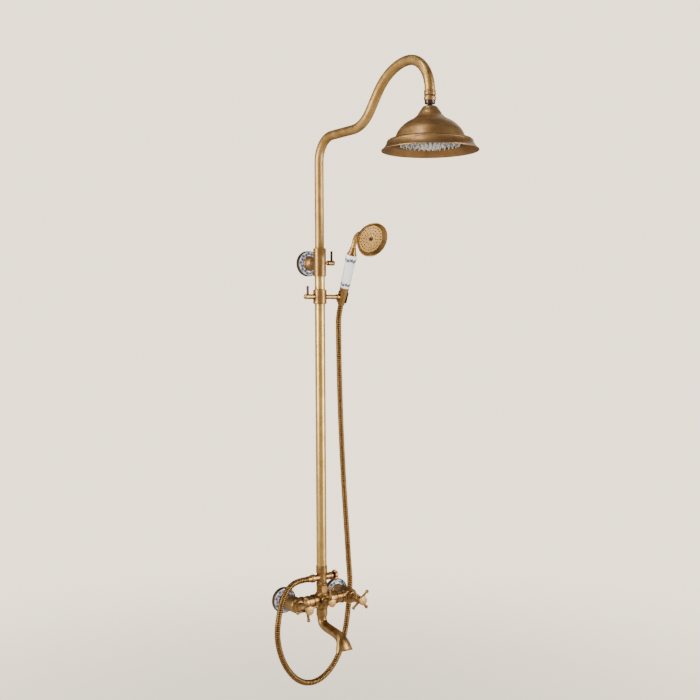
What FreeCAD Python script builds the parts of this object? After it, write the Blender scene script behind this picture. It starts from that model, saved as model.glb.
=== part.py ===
import FreeCAD, Part
import math
import os
import Sketcher

# Wall-hung rainfall shower column: a two-handle mixer with a bath spout, a telescopic riser
# with a swan-neck arm and a large bell head, and a sliding holder with a hand shower on a hose.
#
# Frame: the origin is the middle of the upper bracket's wall plate, on the wall. The wall is
# the plane Y = 0 and the room is on the -Y side. +X is to the right for someone who faces the
# wall and +Z is up. All lengths are millimetres.

DRIVING_DIMENSIONS = {
    "wall_to_column": 56,       # wall face to the axis of the riser
    "mixer_drop": 805,          # bracket axis down to the mixer axis
    "inlet_spacing": 150,       # hot inlet to cold inlet
    "inlet_thread_radius": 10.48,
    "inlet_thread_length": 14,
    "riser_radius": 12,
    "riser_wall": 0.8,
    "riser_top": -12,           # height of the riser's open end
    "arm_radius": 10.8,
    "arm_wall": 1,
    "arm_foot": -250,           # height of the arm tube's lower end inside the riser
    "arm_reach": 418,           # riser axis to the head's axis
    "arm_run_height": 292.5,    # centreline of the level run above the bracket
    "arm_crown_height": 406,    # centreline at the top of the arch
    "arm_elbow_radius": 55,
    "arm_swan_radius": 86,
    "arm_swan_angle": 50,
    "arm_crown_radius": 138,
    "arm_drop_radius": 76,
    "arm_end_height": 321.5,
    "ball_height": 308,
    "ball_radius": 8,
    "seat_thickness": 1,
    "head_lip_height": 208,
    "head_radius": 100,
    "head_height": 91,
    "head_sheet": 1.4,
    "rosette_radius": 30.5,
    "rosette_depth": 10.5,
    "ring_bore_radius": 17.8,
    "plate_radius": 24,
    "plate_thickness": 4,
    "plate_hole_radius": 2.3,
    "plate_hole_spacing": 32,
    "collar_radius": 15.2,
    "collar_top": 34,
    "collar_bottom": -32,
    "lever_radius": 6,
    "lever_pin_radius": 3,
    "screw_radius": 3.95,
    "running_gap": 0.06,
    "slider_height": -80.6,
    "slider_radius": 16,
    "slider_length": 33.6,
    "cradle_reach": 65,         # riser axis to the hand shower's axis
    "cradle_radius": 12.6,
    "cradle_length": 27,
    "cradle_slot": 15,
    "handset_tilt": 22,
    "handset_head_rise": 166.5,  # along the handle, from the cradle to the head's axis
    "handset_head_radius": 41,
    "handset_face_offset": 69,   # handle axis to the rim plane
    "grip_bottom": 24,
    "grip_top": 107,
    "hose_radius": 7,
    "tee_port_height": 54.5,    # above the mixer axis
    "mixer_bar_radius": 14.2,
    "barrel_radius": 18.5,
    "valve_stem_radius": 4,
    "handle_height": 110,       # wall to the middle of the cross handles' arms
    "handle_arm": 26,
    "diverter_height": 92,
    "diverter_arm": 32,
    "spout_radius": 11.3,
    "spout_wall": 2,
}

UP = FreeCAD.Vector(0, 0, 1)
RIGHT = FreeCAD.Vector(1, 0, 0)
LEFT = FreeCAD.Vector(-1, 0, 0)
ROOM = FreeCAD.Vector(0, -1, 0)

doc = FreeCAD.newDocument("shower_column")
sheet = doc.addObject("Spreadsheet::Sheet", "dims")
for row, (alias, size) in enumerate(DRIVING_DIMENSIONS.items(), start=1):
    sheet.set(f"A{row}", alias)
    sheet.set(f"B{row}", str(size))
    sheet.setAlias(f"B{row}", alias)
doc.recompute()


class Size:
    """A length or angle that knows its number and the spreadsheet expression that gives it."""

    def __init__(self, number, text):
        self.number = float(number)
        self.text = text

    def __add__(self, other):
        other = lift(other)
        return Size(self.number + other.number, f"({self.text} + {other.text})")

    def __sub__(self, other):
        other = lift(other)
        return Size(self.number - other.number, f"({self.text} - {other.text})")

    def __rsub__(self, other):
        return lift(other) - self

    def __mul__(self, factor):
        return Size(self.number * factor, f"({self.text} * {factor})")

    def __neg__(self):
        return Size(-self.number, f"(0 - {self.text})")

    __radd__ = __add__
    __rmul__ = __mul__


def lift(value):
    """The value as a Size, whether it came from the sheet or is a plain number."""
    return value if isinstance(value, Size) else Size(value, repr(float(value)))


def dim(alias):
    return Size(getattr(sheet, alias), f"dims.{alias}")


def dome(radius, rise):
    """The sphere radius of a cap with that rim radius and rise, so that it meets the axis square."""
    radius = lift(radius)
    number = (radius.number ** 2 + rise ** 2) / (2 * rise)
    return Size(number, f"(({radius.text} * {radius.text}) + {rise ** 2}) / {2 * rise}")


def bind(obj, field, value):
    value = lift(value)
    setattr(obj, field, value.number)
    if "dims." in value.text:
        obj.setExpression(field, value.text)


def place(obj, spot, rotation):
    spot = [lift(value) for value in spot]
    obj.Placement = FreeCAD.Placement(FreeCAD.Vector(*[value.number for value in spot]), rotation)
    for axis, value in zip("xyz", spot):
        if "dims." in value.text:
            obj.setExpression(f".Placement.Base.{axis}", value.text)


def facing(direction):
    """The rotation that lays a piece's own Z axis along direction."""
    return FreeCAD.Rotation(UP, direction)


def rod(name, radius, length, spot, direction=UP):
    piece = doc.addObject("Part::Cylinder", name)
    bind(piece, "Radius", radius)
    bind(piece, "Height", length)
    place(piece, spot, facing(direction))
    return piece


def taper(name, foot_radius, tip_radius, length, spot, direction=UP):
    piece = doc.addObject("Part::Cone", name)
    bind(piece, "Radius1", foot_radius)
    bind(piece, "Radius2", tip_radius)
    bind(piece, "Height", length)
    place(piece, spot, facing(direction))
    return piece


def ball(name, radius, spot):
    piece = doc.addObject("Part::Sphere", name)
    bind(piece, "Radius", radius)
    place(piece, spot, FreeCAD.Rotation())
    return piece


def ring(name, middle_radius, section_radius, spot, direction=UP):
    piece = doc.addObject("Part::Torus", name)
    bind(piece, "Radius1", middle_radius)
    bind(piece, "Radius2", section_radius)
    place(piece, spot, facing(direction))
    return piece


def hexagon(name, corner_radius, length, spot, direction=UP):
    piece = doc.addObject("Part::Prism", name)
    piece.Polygon = 6
    bind(piece, "Circumradius", corner_radius)
    bind(piece, "Height", length)
    place(piece, spot, facing(direction))
    return piece


def join(name, pieces):
    fusion = doc.addObject("Part::MultiFuse", name)
    fusion.Shapes = pieces
    return fusion


def cut(name, base, tools):
    piece = doc.addObject("Part::Cut", name)
    piece.Base = base
    piece.Tool = tools[0] if len(tools) == 1 else join(f"{name}_tools", tools)
    return piece


def arc_centre(start, end, bend):
    """The centre of the arc of signed radius bend: positive turns left from start to end."""
    across_x = end[0] - start[0]
    across_y = end[1] - start[1]
    chord = math.hypot(across_x, across_y)
    lift_share = math.copysign(math.sqrt(bend * bend - chord * chord / 4) / chord, bend)
    middle_x = (start[0] + end[0]) / 2
    middle_y = (start[1] + end[1]) / 2
    return FreeCAD.Vector(middle_x - across_y * lift_share, middle_y + across_x * lift_share, 0)


def arc_edge(start, end, bend):
    centre = arc_centre(start, end, bend)
    circle = Part.Circle(centre, UP, abs(bend))
    ends = [start, end] if bend > 0 else [end, start]
    angles = [math.atan2(point[1] - centre.y, point[0] - centre.x) for point in ends]
    return Part.ArcOfCircle(circle, angles[0], angles[1])


def draw(sketch, outline, closed):
    """Fully constrained outline. Each entry is (x, y), or (x, y, bend) where an arc of signed
    radius bend arrives at that point. Every coordinate is bound to the spreadsheet."""
    corners = [[lift(value) for value in entry] for entry in outline]
    points = [(entry[0].number, entry[1].number) for entry in corners]
    count = len(corners) if closed else len(corners) - 1
    for index in range(count):
        start = points[index]
        following = (index + 1) % len(corners)
        end = points[following]
        bend = corners[following][2].number if len(corners[following]) > 2 else 0
        if bend:
            sketch.addGeometry(arc_edge(start, end, bend), False)
        else:
            sketch.addGeometry(Part.LineSegment(FreeCAD.Vector(*start, 0), FreeCAD.Vector(*end, 0)), False)
    bends = [entry[2].number if len(entry) > 2 else 0 for entry in corners]
    first_end = [2 if bends[(index + 1) % len(corners)] < 0 else 1 for index in range(count)]
    for index in range(count):
        following = index + 1
        if following == count and closed:
            following = 0
        if following < count:
            sketch.addConstraint(Sketcher.Constraint(
                "Coincident", index, 3 - first_end[index], following, first_end[following]))
    for index, entry in enumerate(corners):
        edge, end = (index, first_end[index]) if index < count else (index - 1, 3 - first_end[index - 1])
        for kind, value in (("DistanceX", entry[0]), ("DistanceY", entry[1])):
            number = sketch.addConstraint(Sketcher.Constraint(kind, -1, 1, edge, end, value.number))
            if "dims." in value.text:
                sketch.setExpression(f"Constraints[{number}]", value.text)
        if bends[index]:
            arc = index - 1 if index else count - 1
            number = sketch.addConstraint(Sketcher.Constraint("Radius", arc, abs(bends[index])))
            if "dims." in entry[2].text and bends[index] > 0:
                sketch.setExpression(f"Constraints[{number}]", entry[2].text)


def new_body(name, spot, rotation):
    body = doc.addObject("PartDesign::Body", name)
    place(body, spot, rotation)
    return body


def sketch_on(body, role, name, lift_off=0):
    plane = [feature for feature in body.Origin.OriginFeatures if feature.Role == role][0]
    sketch = body.newObject("Sketcher::SketchObject", name)
    sketch.AttachmentSupport = (plane, "")
    sketch.MapMode = "FlatFace"
    lift_off = lift(lift_off)
    sketch.AttachmentOffset = FreeCAD.Placement(FreeCAD.Vector(0, 0, lift_off.number), FreeCAD.Rotation())
    if "dims." in lift_off.text:
        sketch.setExpression(".AttachmentOffset.Base.z", lift_off.text)
    return sketch


def turned(name, outline, spot, direction=UP, rotation=None):
    """A lathe-turned piece: the closed outline of (radius, height) is turned about the piece's
    own Z axis, which is then laid along direction, from spot."""
    body = new_body(name, spot, rotation or facing(direction))
    outline_sketch = sketch_on(body, "XZ_Plane", f"{name}_outline")
    draw(outline_sketch, outline, True)
    revolution = body.newObject("PartDesign::Revolution", f"{name}_turn")
    revolution.Profile = outline_sketch
    revolution.ReferenceAxis = (outline_sketch, ["V_Axis"])
    revolution.Angle = 360
    body.Tip = revolution
    return body


def bent_tube(name, route, radius, wall, spot, rotation):
    """A tube along a route of lines and arcs in the piece's own XZ plane, which starts upward."""
    body = new_body(name, spot, rotation)
    path = sketch_on(body, "XZ_Plane", f"{name}_path")
    draw(path, route, False)
    section = sketch_on(body, "XY_Plane", f"{name}_section", route[0][1])
    for size in (radius, radius - wall):
        circle = section.addGeometry(Part.Circle(FreeCAD.Vector(0, 0, 0), UP, lift(size).number), False)
        section.addConstraint(Sketcher.Constraint("Coincident", circle, 3, -1, 1))
        number = section.addConstraint(Sketcher.Constraint("Radius", circle, lift(size).number))
        section.setExpression(f"Constraints[{number}]", lift(size).text)
    pipe = body.newObject("PartDesign::AdditivePipe", f"{name}_pipe")
    pipe.Profile = section
    pipe.Spine = (path, [])
    body.Tip = pipe
    return body


nodes = []


def node(name, piece):
    """Names the finished sub-part, which is written to parts/NAME.step."""
    piece.Label = name
    nodes.append(piece)
    return piece


COLUMN_Y = -dim("wall_to_column")
MIXER_Z = -dim("mixer_drop")
GAP = dim("running_gap")
HALF_INLETS = dim("inlet_spacing") * 0.5
AXIS_SPOT = (0, COLUMN_Y, 0)


def above_mixer(height):
    return MIXER_Z + height


# ---------------------------------------------------------------- upper wall bracket


def rosette_cup(name, hole_radius, spot):
    """Brass cup that stands on the wall and holds the porcelain ring."""
    rim = dim("rosette_radius")
    depth = dim("rosette_depth")
    return turned(name, [
        (rim - 2, 0),
        (rim, 0),
        (rim, depth - 1.6),
        (rim - 1.1, depth, 1.9),
        (rim - 2.2, depth - 1.4, 1.9),
        (rim - 2.2, 6.5),
        (hole_radius, 6.5),
        (hole_radius, 5),
        (rim - 2, 5),
    ], spot, ROOM)


def porcelain_ring(name, spot):
    """Glazed ring with a domed face, seated in the cup."""
    bore = dim("ring_bore_radius")
    outside = dim("rosette_radius") - 2.3
    return turned(name, [
        (bore, 6.5),
        (outside, 6.5),
        (outside, 9),
        (bore + 1.4, 12.6, 22),
        (bore, 11.4, 1.5),
    ], spot, ROOM)


def make_bracket():
    plate = turned("plate_blank", [
        (0, 0),
        (dim("plate_radius"), 0),
        (dim("plate_radius"), dim("plate_thickness")),
        (9, dim("plate_thickness")),
        (9, 16),
        (0, 16),
    ], (0, 0, 0), ROOM)
    half_spacing = dim("plate_hole_spacing") * 0.5
    holes = [
        rod(f"plate_hole_{side}", dim("plate_hole_radius"), 10, (across, 2, 0), ROOM)
        for side, across in (("left", -half_spacing), ("right", half_spacing))
    ]
    node("bracket_base_plate", cut("plate_drilled", plate, holes))
    node("bracket_rosette", rosette_cup("bracket_rosette", 9.4, (0, 0, 0)))
    node("bracket_porcelain_ring", porcelain_ring("bracket_porcelain_ring", (0, 0, 0)))

    stem = turned("stem_blank", [
        (0, 17),
        (9.05, 17),
        (9.05, 6.5),
        (17.4, 6.5),
        (17.4, 14),
        (16.4, 15.4),
        (11.5, 30, 26),
        (11.5, 48),
        (0, 48),
    ], (0, 0, 0), ROOM)
    saddle = rod("stem_saddle", dim("collar_radius"), 60, (0, COLUMN_Y, -30))
    node("bracket_stem", cut("stem_saddled", stem, [saddle]))

    top = dim("collar_top")
    bottom = dim("collar_bottom")
    outside = dim("collar_radius")
    bore = dim("arm_radius") + GAP
    collar = turned("collar_blank", [
        (dim("riser_radius"), bottom),
        (outside - 0.8, bottom),
        (outside, bottom + 0.8),
        (outside, top - 0.8),
        (outside - 0.8, top),
        (bore, top),
        (bore, dim("riser_top")),
        (dim("riser_radius"), dim("riser_top")),
    ], AXIS_SPOT)
    screw_hole = rod("collar_screw_hole", dim("screw_radius") + GAP, 12, (8, COLUMN_Y, 0), RIGHT)
    node("bracket_collar", cut("collar_drilled", collar, [screw_hole]))


def clamp_lever(name, shank_start, head_start, head_end, pin_place, pin_height, spot, direction, side):
    """Clamp screw with a thick round head and a thin upright pin to turn it by."""
    head = dim("lever_radius")
    shank = dim("screw_radius")
    blank = turned(f"{name}_blank", [
        (0, shank_start),
        (shank, shank_start),
        (shank, head_start),
        (head - 0.5, head_start),
        (head, head_start + 0.5),
        (head, head_end - 3),
        (0, head_end, dome(head, 3)),
    ], spot, direction)
    pin_spot = (spot[0] + side * pin_place, spot[1], spot[2] - 2)
    hole = rod(f"{name}_pin_hole", dim("lever_pin_radius"), 20, pin_spot)
    node(name, cut(f"{name}_drilled", blank, [hole]))
    pin = turned(f"{name}_pin", [
        (0, 0),
        (dim("lever_pin_radius"), 0),
        (dim("lever_pin_radius"), pin_height),
        (dim("lever_pin_radius") - 0.6, pin_height + 0.6),
        (0, pin_height + 0.6),
    ], pin_spot)
    node(f"{name}_pin", pin)


# ---------------------------------------------------------------- riser and swan-neck arm


def make_riser():
    radius = dim("riser_radius")
    bore = radius - dim("riser_wall")
    foot = above_mixer(69.2)
    node("riser_tube", turned("riser_tube", [
        (bore, foot),
        (radius, foot),
        (radius, dim("riser_top")),
        (bore, dim("riser_top")),
    ], AXIS_SPOT))


def make_telescope():
    foot = dim("arm_foot")
    bore = dim("riser_radius") - dim("riser_wall")
    spigot = dim("arm_radius") - dim("arm_wall") - 0.08
    groove = 9.0
    outline = [(7.5, foot - 26), (bore - 0.08, foot - 26)]
    ring_heights = [foot - 20, foot - 9]
    for height in ring_heights:
        outline += [
            (bore - 0.08, height - 1.2),
            (groove, height - 1.2),
            (groove, height + 1.2),
            (bore - 0.08, height + 1.2),
        ]
    outline += [
        (bore - 0.08, foot - 0.3),
        (spigot, foot - 0.3),
        (spigot, foot + 12),
        (7.5, foot + 12),
    ]
    node("telescope_piston", turned("telescope_piston", outline, AXIS_SPOT))
    seals = [
        ring(f"piston_seal_{index}", 10.08, 1.06, (0, COLUMN_Y, height))
        for index, height in enumerate(ring_heights)
    ]
    node("telescope_seals", join("telescope_seals", seals))


def arm_route():
    """Centreline in the arm's own plane: x is the distance from the riser towards the room."""
    turn = math.radians(dim("arm_swan_angle").number)
    across = math.sin(turn)
    rise = 1 - math.cos(turn)
    run = dim("arm_run_height")
    elbow = dim("arm_elbow_radius")
    swan = dim("arm_swan_radius")
    crown = dim("arm_crown_radius")
    drop = dim("arm_drop_radius")
    reach = dim("arm_reach")
    top = dim("arm_crown_height")
    crown_x = reach - drop
    slope_top = (crown_x - crown * across, top - crown * rise)
    slope_rise = slope_top[1] - run - swan * rise
    slope_foot = (slope_top[0] - slope_rise * (1 / math.tan(turn)), run + swan * rise)
    return [
        (0, dim("arm_foot")),
        (0, run - elbow),
        (elbow, run, -elbow.number),
        (slope_foot[0] - swan * across, run),
        (slope_foot[0], slope_foot[1], swan.number),
        slope_top,
        (crown_x, top, -crown.number),
        (reach, top - drop, -drop.number),
        (reach, dim("arm_end_height")),
    ]


def make_arm():
    toward_room = FreeCAD.Rotation(UP, -90)
    node("gooseneck_arm", bent_tube(
        "gooseneck_arm", arm_route(), dim("arm_radius"), dim("arm_wall"), AXIS_SPOT, toward_room))

    head_spot = (0, COLUMN_Y - dim("arm_reach"), 0)
    tube = dim("arm_radius") + 0.02
    end = dim("arm_end_height")
    centre = dim("ball_height")
    node("arm_end_fitting", turned("arm_end_fitting", [
        (6, centre + 8.5),
        (8.9, centre + 8.5),
        (8.9, end - 1.9),
        (11, end - 1.9),
        (12.3, end - 0.2, 2),
        (12.3, end + 3.2),
        (11.7, end + 4.6),
        (11.7, end + 5.6),
        (12.2, end + 7, 1.6),
        (11.7, end + 8.8, 1.8),
        (tube, end + 9),
        (tube, end),
        (6, end),
    ], head_spot))

    socket = dim("ball_radius") + dim("seat_thickness") + 0.1
    outside = 12.4
    node("swivel_housing", turned("swivel_housing", [
        (8.95, centre + 11.2),
        (8.95, centre + 8.4),
        (5, centre + 8.4),
        (5, centre + 7.605),
        (socket, centre + 0.2, -9.1),
        (9.8, centre + 0.2),
        (9.8, centre + 1.4),
        (11.4, centre + 1.4),
        (outside, centre + 4.4, 6),
        (outside, centre + 7.6),
        (11.2, centre + 11.2, 7),
    ], head_spot))
    node("swivel_nut", turned("swivel_nut", [
        (socket, centre),
        (7.96, centre - 4.41, -9.1),
        (9.2, centre - 5.1),
        (10.6, centre - 5.1),
        (11, centre - 4.7),
        (11, centre + 0.9),
        (9.9, centre + 0.9),
        (9.9, centre),
    ], head_spot))


def make_ball_joint():
    """Spherical liner in two halves round the ball, so that the head tips any way and turns."""
    head_spot = (0, COLUMN_Y - dim("arm_reach"), 0)
    centre = dim("ball_height")
    inside = 8.05
    outside = 9.05

    def liner_outline(upper_angle, lower_angle):
        upper = math.radians(upper_angle)
        lower = math.radians(lower_angle)
        return [
            (inside * math.sin(upper), centre + inside * math.cos(upper), inside),
            (outside * math.sin(upper), centre + outside * math.cos(upper)),
            (outside * math.sin(lower), centre + outside * math.cos(lower), -outside),
            (inside * math.sin(lower), centre + inside * math.cos(lower)),
        ]

    node("swivel_seat_upper", turned("swivel_seat_upper", liner_outline(42, 80), head_spot))
    node("swivel_seat_lower", turned("swivel_seat_lower", liner_outline(95, 127), head_spot))

    neck = 4.6
    ball_radius = dim("ball_radius")
    neck_drop = math.sqrt(ball_radius.number ** 2 - neck ** 2)
    lip = dim("head_lip_height")
    bell_top = lip + dim("head_height")
    node("swivel_ball", turned("swivel_ball", [
        (3, bell_top - 15),
        (6, bell_top - 15),
        (6, bell_top),
        (6.6, bell_top),
        (6.6, bell_top + 0.8),
        (neck, bell_top + 1.8),
        (neck, centre - neck_drop),
        (3, centre + math.sqrt(64 - 9), ball_radius.number),
    ], head_spot))


def make_head():
    head_spot = (0, COLUMN_Y - dim("arm_reach"), dim("head_lip_height"))
    sheet_metal = dim("head_sheet")
    lip = dim("head_radius")
    top = dim("head_height")
    node("head_bell", turned("head_bell", [
        (6, top),
        (6, top - 8),
        (12.5, top - 8),
        (16, top - 13.5, -9),
        (23, 72, -60),
        (36.6, 61.2, 40),
        (57.8, 46.6, -60),
        (68, 31, -42),
        (71.2, 21),
        (78, 15.5, 9),
        (84, 13.5),
        (lip - 1.6, 0),
        (lip, 0),
        (lip, 1.4),
        (88.6, 17.2, -30),
        (85.6, 21.6, 5),
        (80.4, 21.4, 4),
        (73.2, 24.4, -9),
        (69.6, 32.6),
        (59, 48.2, 42),
        (38, 62.8, 60),
        (24.6, 74, -40),
        (17.4, 85, 60),
        (12, top - 0.6, 9),
        (8, top),
    ], head_spot))
    node("head_spray_plate", turned("head_spray_plate", [
        (0, 16.4),
        (66.4, 16.4),
        (66.4, 13.4),
        (70.2, 13.4),
        (71.2, 15.2),
        (71.2, 18.4),
        (0, 18.4),
    ], head_spot))
    make_rain_nozzles(head_spot)


def make_rain_nozzles(head_spot):
    """Soft mat of conical spray nozzles in rings: long ones in the middle, short ones outside."""
    body = new_body("head_nozzles", head_spot, FreeCAD.Rotation())
    mat = sketch_on(body, "XZ_Plane", "mat_outline")
    draw(mat, [(0, 14.8), (66, 14.8), (66, 16.4), (0, 16.4)], True)
    disc = body.newObject("PartDesign::Revolution", "mat")
    disc.Profile = mat
    disc.ReferenceAxis = (mat, ["V_Axis"])
    disc.Angle = 360
    body.Tip = disc
    axis_line = [feature for feature in body.Origin.OriginFeatures if feature.Role == "Z_Axis"][0]
    long_tip = 2.6
    middle_tip = 5.5
    short_tip = 9
    rings = (
        (8, 6, long_tip),
        (17, 11, long_tip),
        (27, 17, middle_tip),
        (38, 22, short_tip),
        (49, 28, short_tip),
        (60, 34, short_tip),
    )
    for index, (ring_radius, count, tip) in enumerate(rings):
        foot_radius = 3.2 if tip == long_tip else 2.6
        outline = sketch_on(body, "XZ_Plane", f"nozzle_outline_{index}")
        draw(outline, [
            (ring_radius, 15.2),
            (ring_radius + foot_radius, 15.2),
            (ring_radius + 0.9, tip),
            (ring_radius, tip),
        ], True)
        edge = outline.addGeometry(Part.LineSegment(
            FreeCAD.Vector(ring_radius, 0, 0), FreeCAD.Vector(ring_radius, 20, 0)), True)
        outline.addConstraint(Sketcher.Constraint("DistanceX", -1, 1, edge, 1, ring_radius))
        outline.addConstraint(Sketcher.Constraint("Vertical", edge))
        nozzle = body.newObject("PartDesign::Revolution", f"nozzle_{index}")
        nozzle.Profile = outline
        nozzle.ReferenceAxis = (outline, ["Axis0"])
        nozzle.Angle = 360
        pattern = body.newObject("PartDesign::PolarPattern", f"nozzle_ring_{index}")
        pattern.Originals = [nozzle]
        pattern.Axis = (axis_line, [""])
        pattern.Angle = 360
        pattern.Occurrences = count
        body.Tip = pattern
    node("head_nozzles", body)


# ---------------------------------------------------------------- sliding holder


def make_slider():
    height = dim("slider_height")
    half = dim("slider_length") * 0.5
    riser = dim("riser_radius")
    outside = dim("slider_radius")
    bore = riser + 1.25
    node("slider_liner", turned("slider_liner", [
        (riser + GAP, height - half + 0.6),
        (bore - 0.06, height - half + 0.6),
        (bore - 0.06, height + half - 0.6),
        (riser + GAP, height + half - 0.6),
    ], AXIS_SPOT))
    collar = turned("slider_blank", [
        (bore, height - half),
        (outside - 0.8, height - half),
        (outside, height - half + 0.8),
        (outside, height + half - 0.8),
        (outside - 0.8, height + half),
        (bore, height + half),
    ], AXIS_SPOT)
    lever_hole = rod("slider_screw_hole", dim("screw_radius") + GAP, 8, (-10, COLUMN_Y, height), LEFT)
    arm_hole = rod("slider_arm_hole", 4, 8, (10, COLUMN_Y, height), RIGHT)
    node("slider_collar", cut("slider_drilled", collar, [lever_hole, arm_hole]))

    reach = dim("cradle_reach")
    pivot = 4
    arm_blank = turned("slider_arm_blank", [
        (0, 13.6),
        (4, 13.6),
        (4, 15),
        (5.4, 15),
        (5.4, reach - 18.4),
        (pivot - 0.05, reach - 18.4),
        (pivot - 0.05, reach - 11.6),
        (0, reach - 11.6),
    ], (0, COLUMN_Y, height), RIGHT)
    saddle = rod("slider_arm_saddle", outside, 20, (0, COLUMN_Y, height - 10))
    core = rod("slider_arm_tenon", 4, 6, (13.6, COLUMN_Y, height), RIGHT)
    trimmed = cut("slider_arm_trimmed", arm_blank, [saddle])
    node("slider_arm", join("slider_arm", [trimmed, core]))
    make_cradle(height, reach, pivot)


def tilted(offset_room, along):
    """A spot in the hand shower's own frame: towards the room, and along the handle."""
    tilt = math.radians(dim("handset_tilt").number)
    base_y = COLUMN_Y - offset_room * math.cos(tilt) - along * math.sin(tilt)
    base_z = dim("slider_height") - offset_room * math.sin(tilt) + along * math.cos(tilt)
    return (dim("cradle_reach"), base_y, base_z)


HANDLE_TURN = FreeCAD.Rotation(RIGHT, dim("handset_tilt").number)
HANDLE_SIDE_TURN = HANDLE_TURN.multiply(FreeCAD.Rotation(UP, -90))
FACE_TURN = HANDLE_TURN.multiply(FreeCAD.Rotation(UP, ROOM))


def hose_cone_radius(along):
    """Radius of the hose's conical nut at a distance along the handle from the cradle."""
    return 8.55 + 2.45 * (along + 19) / 39.2


def make_cradle(height, reach, pivot):
    half = dim("cradle_length").number / 2
    outside = dim("cradle_radius")
    sleeve = turned("cradle_sleeve", [
        (hose_cone_radius(-half) + 0.06, -half),
        (outside - 0.8, -half),
        (outside, -half + 0.8),
        (outside, half - 0.8),
        (outside - 0.8, half),
        (hose_cone_radius(half) + 0.06, half),
    ], tilted(0, 0), rotation=HANDLE_TURN)
    boss = rod("cradle_boss", 6.6, 10, (reach - 18, COLUMN_Y, height), RIGHT)
    inside = taper(
        "cradle_inside", hose_cone_radius(-20) + 0.06, hose_cone_radius(20) + 0.06, 40,
        tilted(0, -20))
    inside.Placement.Rotation = HANDLE_TURN
    pivot_hole = rod("cradle_pivot_hole", pivot, 7.2, (reach - 18.5, COLUMN_Y, height), RIGHT)
    slot = doc.addObject("Part::Box", "cradle_slot_box")
    bind(slot, "Length", dim("cradle_slot"))
    bind(slot, "Width", 20)
    bind(slot, "Height", 40)
    slot.Placement = FreeCAD.Placement(FreeCAD.Vector(), HANDLE_TURN)
    corner = HANDLE_TURN.multVec(FreeCAD.Vector(-dim("cradle_slot").number / 2, -20, -20))
    place(slot, (reach + corner.x, COLUMN_Y + corner.y, height + corner.z), HANDLE_TURN)
    body = join("cradle_body", [sleeve, boss])
    node("handset_cradle", cut("cradle_cut", body, [inside, pivot_hole, slot]))


# ---------------------------------------------------------------- hand shower


def make_handset():
    spot = tilted(0, 0)
    bottom = dim("grip_bottom")
    top = dim("grip_top")
    node("hose_handset_nut", turned("hose_handset_nut", [
        (5, -19),
        (hose_cone_radius(-19), -19),
        (hose_cone_radius(20), 20),
        (8.7, 20),
        (8.7, 5),
        (5, 5),
    ], spot, rotation=HANDLE_TURN))
    node("handset_lower_ferrule", turned("handset_lower_ferrule", [
        (4, 5),
        (8.6, 5),
        (8.6, 20.2),
        (10.9, 20.2),
        (11.2, 20.8),
        (11.2, bottom - 0.6),
        (10.8, bottom),
        (5.9, bottom),
        (5.9, bottom + 10),
        (4, bottom + 10),
    ], spot, rotation=HANDLE_TURN))
    node("handset_grip", turned("handset_grip", [
        (6, bottom),
        (10.4, bottom),
        (11.6, bottom + 1.6, 1.8),
        (11.9, bottom + 36),
        (13.3, bottom + 72, -260),
        (12.6, top - 1.6, 12),
        (11.6, top, 2),
        (6, top),
    ], spot, rotation=HANDLE_TURN))
    node("handset_upper_ferrule", turned("handset_upper_ferrule", [
        (4.4, top - 8),
        (5.9, top - 8),
        (5.9, top),
        (11.4, top),
        (11.9, top + 0.5),
        (11.9, top + 1.6),
        (7.4, top + 15.5, -40),
        (7.8, top + 16.4),
        (7.4, top + 17.4),
        (6.02, top + 17.4),
        (6.02, top + 10),
        (4.4, top + 10),
    ], spot, rotation=HANDLE_TURN))

    rise = dim("handset_head_rise")
    bend = 25
    node("handset_neck", bent_tube("handset_neck", [
        (0, top + 10),
        (0, rise - bend),
        (bend, rise, -bend),
        (36, rise),
    ], lift(6), lift(1.4), spot, HANDLE_SIDE_TURN))
    make_handset_head(tilted(0, rise.number))


def make_handset_head(spot):
    rim = dim("handset_head_radius")
    face = dim("handset_face_offset")
    node("handset_shell", turned("handset_shell", [
        (6.02, 32),
        (7.6, 32),
        (8.2, 33),
        (8.6, 39),
        (17, 44.4, 12),
        (33.6, 53.4, -34),
        (38.6, face - 7.4, -14),
        (rim, face - 2),
        (rim, face - 0.6),
        (rim - 0.9, face, 0.9),
        (rim - 2.2, face - 0.8),
        (32.4, face - 7.2),
        (32.4, face - 10.4),
        (30.4, face - 10.4),
        (30.4, face - 13),
        (16, 46, 34),
        (8, 42),
        (6.02, 38),
    ], spot, rotation=FACE_TURN))
    node("handset_face_plate", turned("handset_face_plate", [
        (2.1, face - 10.4),
        (32.3, face - 10.4),
        (32.3, face - 8),
        (2.1, face - 8),
    ], spot, rotation=FACE_TURN))
    node("handset_face_screw", turned("handset_face_screw", [
        (0, face - 14),
        (2.05, face - 14),
        (2.05, face - 8),
        (5.6, face - 8),
        (5.2, face - 6.8),
        (0, face - 6.2, dome(5.2, 0.6)),
    ], spot, rotation=FACE_TURN))
    tips = []
    for ring_index, (ring_radius, count) in enumerate(((13, 10), (20, 16), (27, 24))):
        for index in range(count):
            angle = 2 * math.pi * index / count
            local = FreeCAD.Vector(ring_radius * math.cos(angle), ring_radius * math.sin(angle), 0)
            offset = FACE_TURN.multVec(local + UP * (face.number - 8))
            tip_spot = (spot[0] + offset.x, spot[1] + offset.y, spot[2] + offset.z)
            tip = taper(f"handset_tip_{ring_index}_{index}", 1.1, 0.8, 1.1, tip_spot)
            tip.Placement.Rotation = FACE_TURN
            tips.append(tip)
    node("handset_nozzles", join("handset_tips", tips))


# ---------------------------------------------------------------- tee with the hand shower valve


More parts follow.
